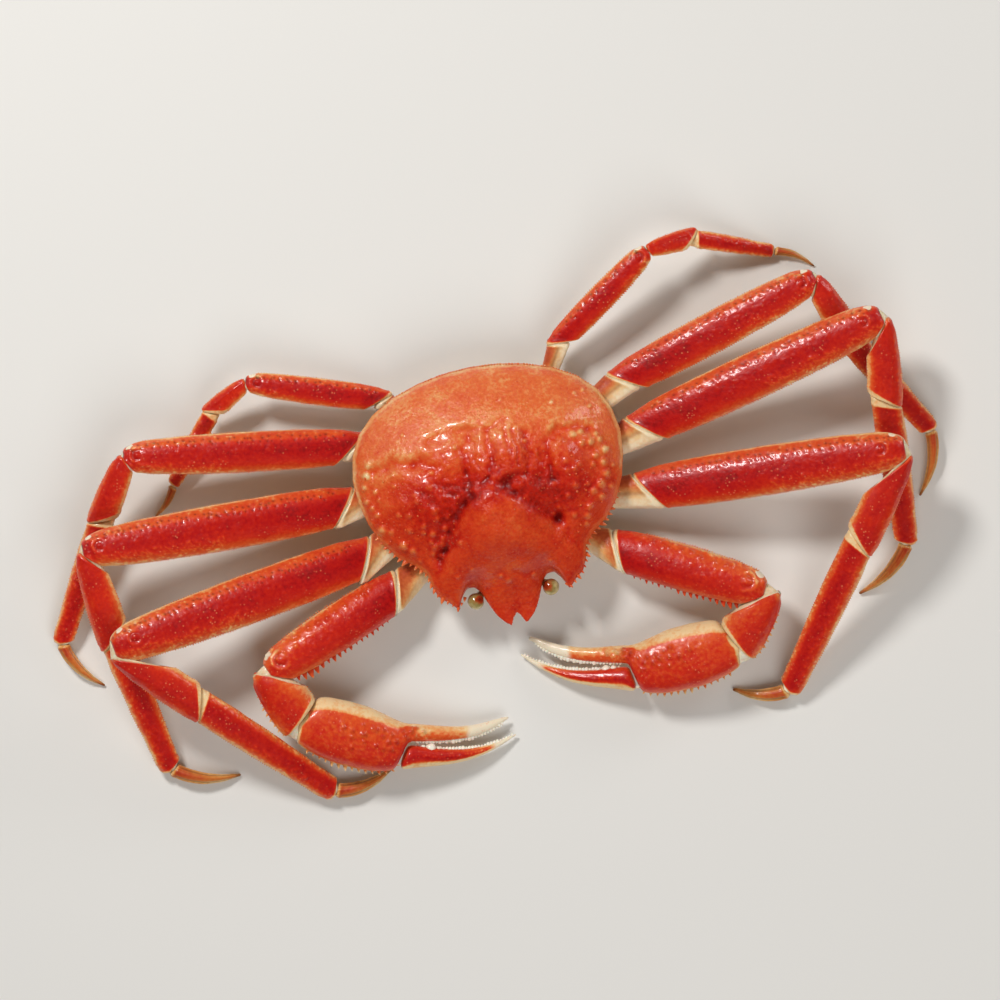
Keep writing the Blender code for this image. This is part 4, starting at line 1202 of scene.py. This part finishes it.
def buildCarapace():
    spots, edges, faces = voxelForm("carapace", backLook["voxel"])
    local = spots - crabAt
    hub = np.array(backLook["hub"])
    away = local[:, :2] - hub
    angle = np.arctan2(away[:, 1], away[:, 0])
    radius = np.linalg.norm(away, axis=1)
    bins = 720
    slot = ((angle + math.pi) / (2 * math.pi) * bins).astype(int) % bins
    reach = np.zeros(bins)
    np.maximum.at(reach, slot, radius)
    reach = np.maximum(reach, np.roll(reach, 1))
    rimGap = reach[slot] - radius  # distance in from the margin
    top = smoothStep(local[:, 2], 23.0, 26.0)
    weights = 0.5 * np.clip(smoothStep(rimGap, 0.6, 5.0), 0.06, 1.0)
    spots = relax(spots, edges, weights, 46)
    local = spots - crabAt
    x, y = local[:, 0], local[:, 1]
    flat = local[:, :2]
    inner = smoothStep(rimGap, 1.0, 6.0) * top
    lift = np.zeros(len(spots))
    brow = plateau(x, y, backLook["brow"])  # the smooth front of the back
    wet = plateau(x, y, backLook["wetMiddle"]) * (1 - 0.85 * brow)
    lift += 1.6 * plateau(x, y, backLook["bulge"])
    for atX in (-29, 25):
        lift -= 2.0 * np.exp(-(((x - atX) / 8) ** 2 + ((y + 22) / 10) ** 2))
    for line, wide, depth in backLook["furrows"]:
        gap = lineGap(flat + np.stack([grain(spots, 6.0, 2.0), grain(spots, 6.0, 9.0)], 1) * 1.2, line)
        uneven = 0.75 + 0.4 * grain(spots, 4.0, depth)
        lift -= uneven * depth * bell(gap, 1.15 * wide)
        lift += 0.12 * depth * bell(gap - 2.4 * wide, wide)
    for line, wide, height in backLook["crests"]:
        lift += height * bell(lineGap(flat, line), wide)
    for atX, atY, wide, depth in backLook["pits"]:
        lift -= depth * bell(np.hypot(x - atX, y - atY), wide)
    grains = backLook["grains"]
    lumps, pimples, beads = (grain(spots, *grains[label]) for label in ("lumps", "pimples", "beads"))
    folds = 1 - 2 * np.abs(grain(spots * np.array([1.0, 0.7, 1.0]), *grains["folds"]))
    lift += wet * sum(a * b for a, b in zip(backLook["wetHeights"], (lumps, folds - 0.6, pimples, beads)))
    lift += (1 - wet) * sum(a * b for a, b in zip(backLook["dryHeights"], (lumps, pimples)))
    lift += 0.8 * brow * grain(spots, 9.0, 23.0)
    knobs = np.zeros(len(spots))
    for atX, atY, wide, height in backKnobs():
        knobs += backLook["knobHeight"] * height * bell(np.hypot(x - atX, y - atY), wide)
    lift = lift * inner + knobs * smoothStep(rimGap, 0.4, 2.0) * top
    spots[:, 2] += lift
    rounded = relax(spots[:, 2], edges, np.full(len(spots), 0.6), 26)
    cavity = (rounded - spots[:, 2]) * inner
    # colour: orange behind, red in front and in the wet middle, a painted highlight on the front bulge,
    # painted shade darkening the furrows and hollows
    tone = 0.33 + 0.30 * smoothStep(-y, -22, 6) + 0.22 * wet * smoothStep(-y, -30, -14)
    highlight = np.exp(-((x / 9) ** 2 + ((y + 12) / 7) ** 2))
    tone -= brow * (0.06 + 0.14 * highlight - 0.12 * grain(spots, 7.0, 21.0))
    tone -= 0.12 * smoothStep(np.abs(x), 30, 52) * smoothStep(-y, -22, 4)
    # painted shade: darker where the surface lies below its smoothed self, and a little painted light where
    # it rises above
    tone += np.clip(cavity * 0.3, -0.1, 0.3)
    tone += 0.06 * lumps + 0.05 * wet * pimples - 0.16 * np.clip(knobs - 0.3, 0, 1.4)
    rear = smoothStep(y, -8, 12)
    rim = smoothStep(2.4 - rimGap, 0.0, 1.6) * top * (0.35 + 0.55 * rear)
    tone = blend(blend(tone, 0.08, rim), 0.1, 1 - smoothStep(local[:, 2], 18.5, 23.0))
    # the dark mark here is painted shade in the furrows and hollows
    marks = {"tone": tone, "hollow": np.clip(cavity * 0.26 - 0.14, 0, 0.36), "pale": np.zeros(len(spots))}
    finish(addMesh("carapace_shell", spots, faces, marks), backShell, "carapace_shell", "carapace")
    return spots, faces, {"rimGap": rimGap, "top": top, "wet": wet, "local": spots - crabAt, "reach": reach}


backSpots, backFaces, backField = buildCarapace()
print("carapace shaped", len(backFaces))

# tubercles thrown over the back
local = backField["local"]
x, y = local[:, 0], local[:, 1]
sides = smoothStep(np.abs(x - 1), 22, 34)
ahead = smoothStep(-y, -24, -12)
crowd = backField["top"] * smoothStep(backField["rimGap"], 1.5, 4.0)
crestGap = np.minimum(*(lineGap(local[:, :2], line) for line, _, _ in backLook["crests"][:2]))
nearCrest = bell(crestGap, 4.0)
crowd = crowd * np.clip(0.02 + 0.2 * sides * ahead + 0.2 * nearCrest + 0.2 * backField["wet"], 0, 1)
size = 0.36 + 0.14 * sides * ahead
source = addMesh("wart_ground", backSpots, backFaces, {"crowd": crowd, "size": size})
beading = {"material": backShell, "slot": "carapace_shell"}
wartLook = beading | {"shape": "pearl", "spacing": 2.6, "density": 1.6e5, "seed": 5, "tones": (0.6, 0.3)}
setBeads("back_tubercles", scatterTree, source, wartLook)

# spines on the front side margins and fine granules round the back
bins = len(backField["reach"])
angles = (np.arange(bins) + 0.5) / bins * 2 * math.pi - math.pi
reach = backField["reach"]
smooth = sum(np.roll(reach, k) for k in range(-2, 3)) / 5
rimX = backLook["hub"][0] + smooth * np.cos(angles)
rimY = backLook["hub"][1] + smooth * np.sin(angles)
outward = np.stack([np.cos(angles), np.sin(angles), np.full(bins, 0.25)], 1)
rimPoints = np.stack([rimX, rimY, np.full(bins, 24.3)], 1) + crabAt
rimLines = {"margin_spines": [], "margin_granules": []}
for label, low, high, size in (
    ("margin_spines", -70, -22, 1.2),
    ("margin_spines", -160, -114, 1.2),
    ("margin_granules", -22, 200, 0.42),
):
    degrees = np.degrees(angles)
    degrees = np.where(degrees < low, degrees + 360, degrees)
    order = np.argsort(degrees)
    order = order[(degrees[order] > low) & (degrees[order] < high)]
    sizes = size * (0.5 + 0.4 * np.sin(np.linspace(0, math.pi, len(order))))
    sizes = sizes * (1 + 0.7 * grain(rimPoints[order], 2.4, 31.0))
    rimLines[label].append((rimPoints[order] - outward[order] * 0.3, outward[order], sizes))
marginLooks = ("margin_spines", "spine", 2.6, 0.2), ("margin_granules", "pearl", 1.3, 0.05)
for label, shape, spacing, tip in marginLooks:
    look = beading | {"shape": shape, "spacing": spacing, "seed": 9, "tones": (0.45, tip)}
    setBeads(label, rowTree, drawLines(label + "_lines", rimLines[label]), look)
print("margin set")


def breastRelief(spots):  # plates parted by furrows that run out between the legs
    lift = 0.25 * grain(spots, 4.0, 3.0)
    for rootX, rootY, endX, endY in ((9, -22, 40, -24), (10, -6, 46, -4), (10, 10, 46, 16), (9, 26, 38, 34)):
        for flip in (1, -1):
            line = ((flip * rootX, rootY), (flip * endX, endY))
            lift -= 0.9 * bell(lineGap((spots - crabAt)[:, :2], line), 1.3)
    return lift


def flapRelief(spots):  # seven plates, parted by furrows
    plate = np.abs(((spots[:, 1] - crabAt[1] + 20.5) / 8.6) % 1 - 0.5) * 2
    return -0.6 * smoothStep(plate, 0.86, 1.0) + 0.1 * grain(spots, 3.0, 3.0)


def smoothRelief(spots):
    return np.zeros(len(spots))


# voxel size, smoothing passes, relief; tone, its clouds with their size and seed;
# how much a furrow's depth adds to the tone and to the dark, both painted shade in the furrows
mouthLook = (0.4, 10, smoothRelief, (0.35, 0.25, 3.0, 2.0), 0.0, 0.0)
underLooks = {
    "body_underside": ("belly_shell", 0.9, 6, breastRelief, (0.12, 0.1, 9.0, 6.0), 0.3, 0.4),
    "tail_flap": ("tail_flap_shell", 0.5, 8, flapRelief, (0.1, 0.1, 7.0, 6.0), 0.0, 0.7),
    "left_mouth_limb": ("left_mouth_limb_shell", *mouthLook),
    "right_mouth_limb": ("right_mouth_limb_shell", *mouthLook),
}
for node, (name, voxel, passes, reliefOf, tones, furrowShadeTone, furrowShadeBy) in underLooks.items():
    base, cloudBy, cloud, seed = tones
    spots, edges, faces = voxelForm(node, voxel)
    spots = relax(spots, edges, np.full(len(spots), 0.5), passes)
    lift = reliefOf(spots)
    spots = spots + normalsOf(spots, faces) * lift[:, None]
    spots[:, 2] = np.maximum(spots[:, 2], 0.02)  # kept just off the floor
    # painted shade: the furrows are darker by their depth, in the tone and in the dark mark
    tone = base + cloudBy * grain(spots, cloud, seed) + furrowShadeTone * np.clip(-lift, 0, 1)
    marks = {"tone": tone, "hollow": np.clip(-lift * furrowShadeBy, 0, 1), "pale": np.zeros(len(spots))}
    finish(addMesh(name, spots, faces, marks), baseShell, "belly_shell", node)
print("belly, flap and mouth shaped")

# ---------- eyes ----------
# glossy cornea, cloudy from cooking: olive cream with a rust patch and a hard small highlight
gloss = {"Roughness": 0.12, "IOR": 1.45, "Coat Weight": 1.0, "Coat Roughness": 0.03}
cornea, tree, shader = newMaterial("cooked_eye", gloss)
drift = mapped(tree, clouds(tree, 3.0, 3.0), 0.3, 0.7, -0.2, 0.2)
moved = combined(tree, "ADD", readMark(tree, "tone"), drift)
colour = ramped(tree, moved, {0.0: "C9B880", 0.3: "94814A", 0.6: "A8401C", 1.0: "6A160C"})
tree.links.new(colour, shader.inputs["Base Color"])
eyeLook = {"voxel": 0.3, "passes": 14, "patch": (3.0, 2.2), "patchIn": 1.0, "patchBack": 4.5}
stalkFrom = (0.58, 0.76)  # share of the eye's length where the red stalk sets in
for side, flip in (("left", 1), ("right", -1)):
    node = side + "_eye"
    spots, edges, faces = voxelForm(node, eyeLook["voxel"])
    spots = relax(spots, edges, np.full(len(spots), 0.5), eyeLook["passes"])
    low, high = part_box(node)
    middleX = (low.x + high.x) / 2 / mm
    tip = spots[:, 1].min()
    back = (spots[:, 1] - tip) / (spots[:, 1].max() - tip)
    wide, deep = eyeLook["patch"]
    patchX = (spots[:, 0] - middleX + flip * eyeLook["patchIn"]) / wide
    patch = np.exp(-(patchX**2 + ((spots[:, 1] - tip - eyeLook["patchBack"]) / deep) ** 2))
    tone = 0.12 + 0.8 * patch + 0.6 * smoothStep(back, *stalkFrom)
    finish(addMesh(node + "_ball", spots, faces, {"tone": tone}), cornea, "eye", node)
print("eyes set")

for shape in beadShapes.values():
    bpy.data.objects.remove(shape)


# ---------- floor, light and world --------------
floorSize = 3000
corners = [(-1, -1, 0), (1, -1, 0), (1, 1, 0), (-1, 1, 0)]
floor = addMesh("floor", np.array(corners, float) * floorSize, [(0, 1, 2, 3)])
floor.data.materials.append(newMaterial("matt_paper", {"Base Color": paint("DEDBD5"), "Roughness": 0.9})[0])

lights = (
    # name, place in the camera's own right and up and above the floor, size, watts
    ("key", (-620, 760, 1080), 300, 14.4),
    ("fill", (400, -900, 1250), 1300, 12.0),
    ("rim", (900, 700, 500), 400, 2.5),
)
for name, place, size, watts in lights:
    lamp = bpy.data.lights.new(name, "AREA")
    lamp.shape = "DISK"
    lamp.size = size * mm
    lamp.energy = watts
    item = bpy.data.objects.new(name, lamp)
    item.visible_glossy = name != "fill"  # the fill lifts the shadows and leaves no shine
    place = camera.rotation_euler.to_matrix() @ Vector(place)
    item.location = place * mm
    item.rotation_euler = (-place).to_track_quat("-Z", "Y").to_euler()
    bpy.context.scene.collection.objects.link(item)
world = bpy.data.worlds.new("studio")
bpy.context.scene.world = world
world.use_nodes = True
sky = world.node_tree.nodes["Background"]
sky.inputs["Color"].default_value = paint("F2F2F4")
sky.inputs["Strength"].default_value = 0.17
world.cycles_visibility.glossy = False
bpy.context.scene.view_settings.view_transform = "Standard"
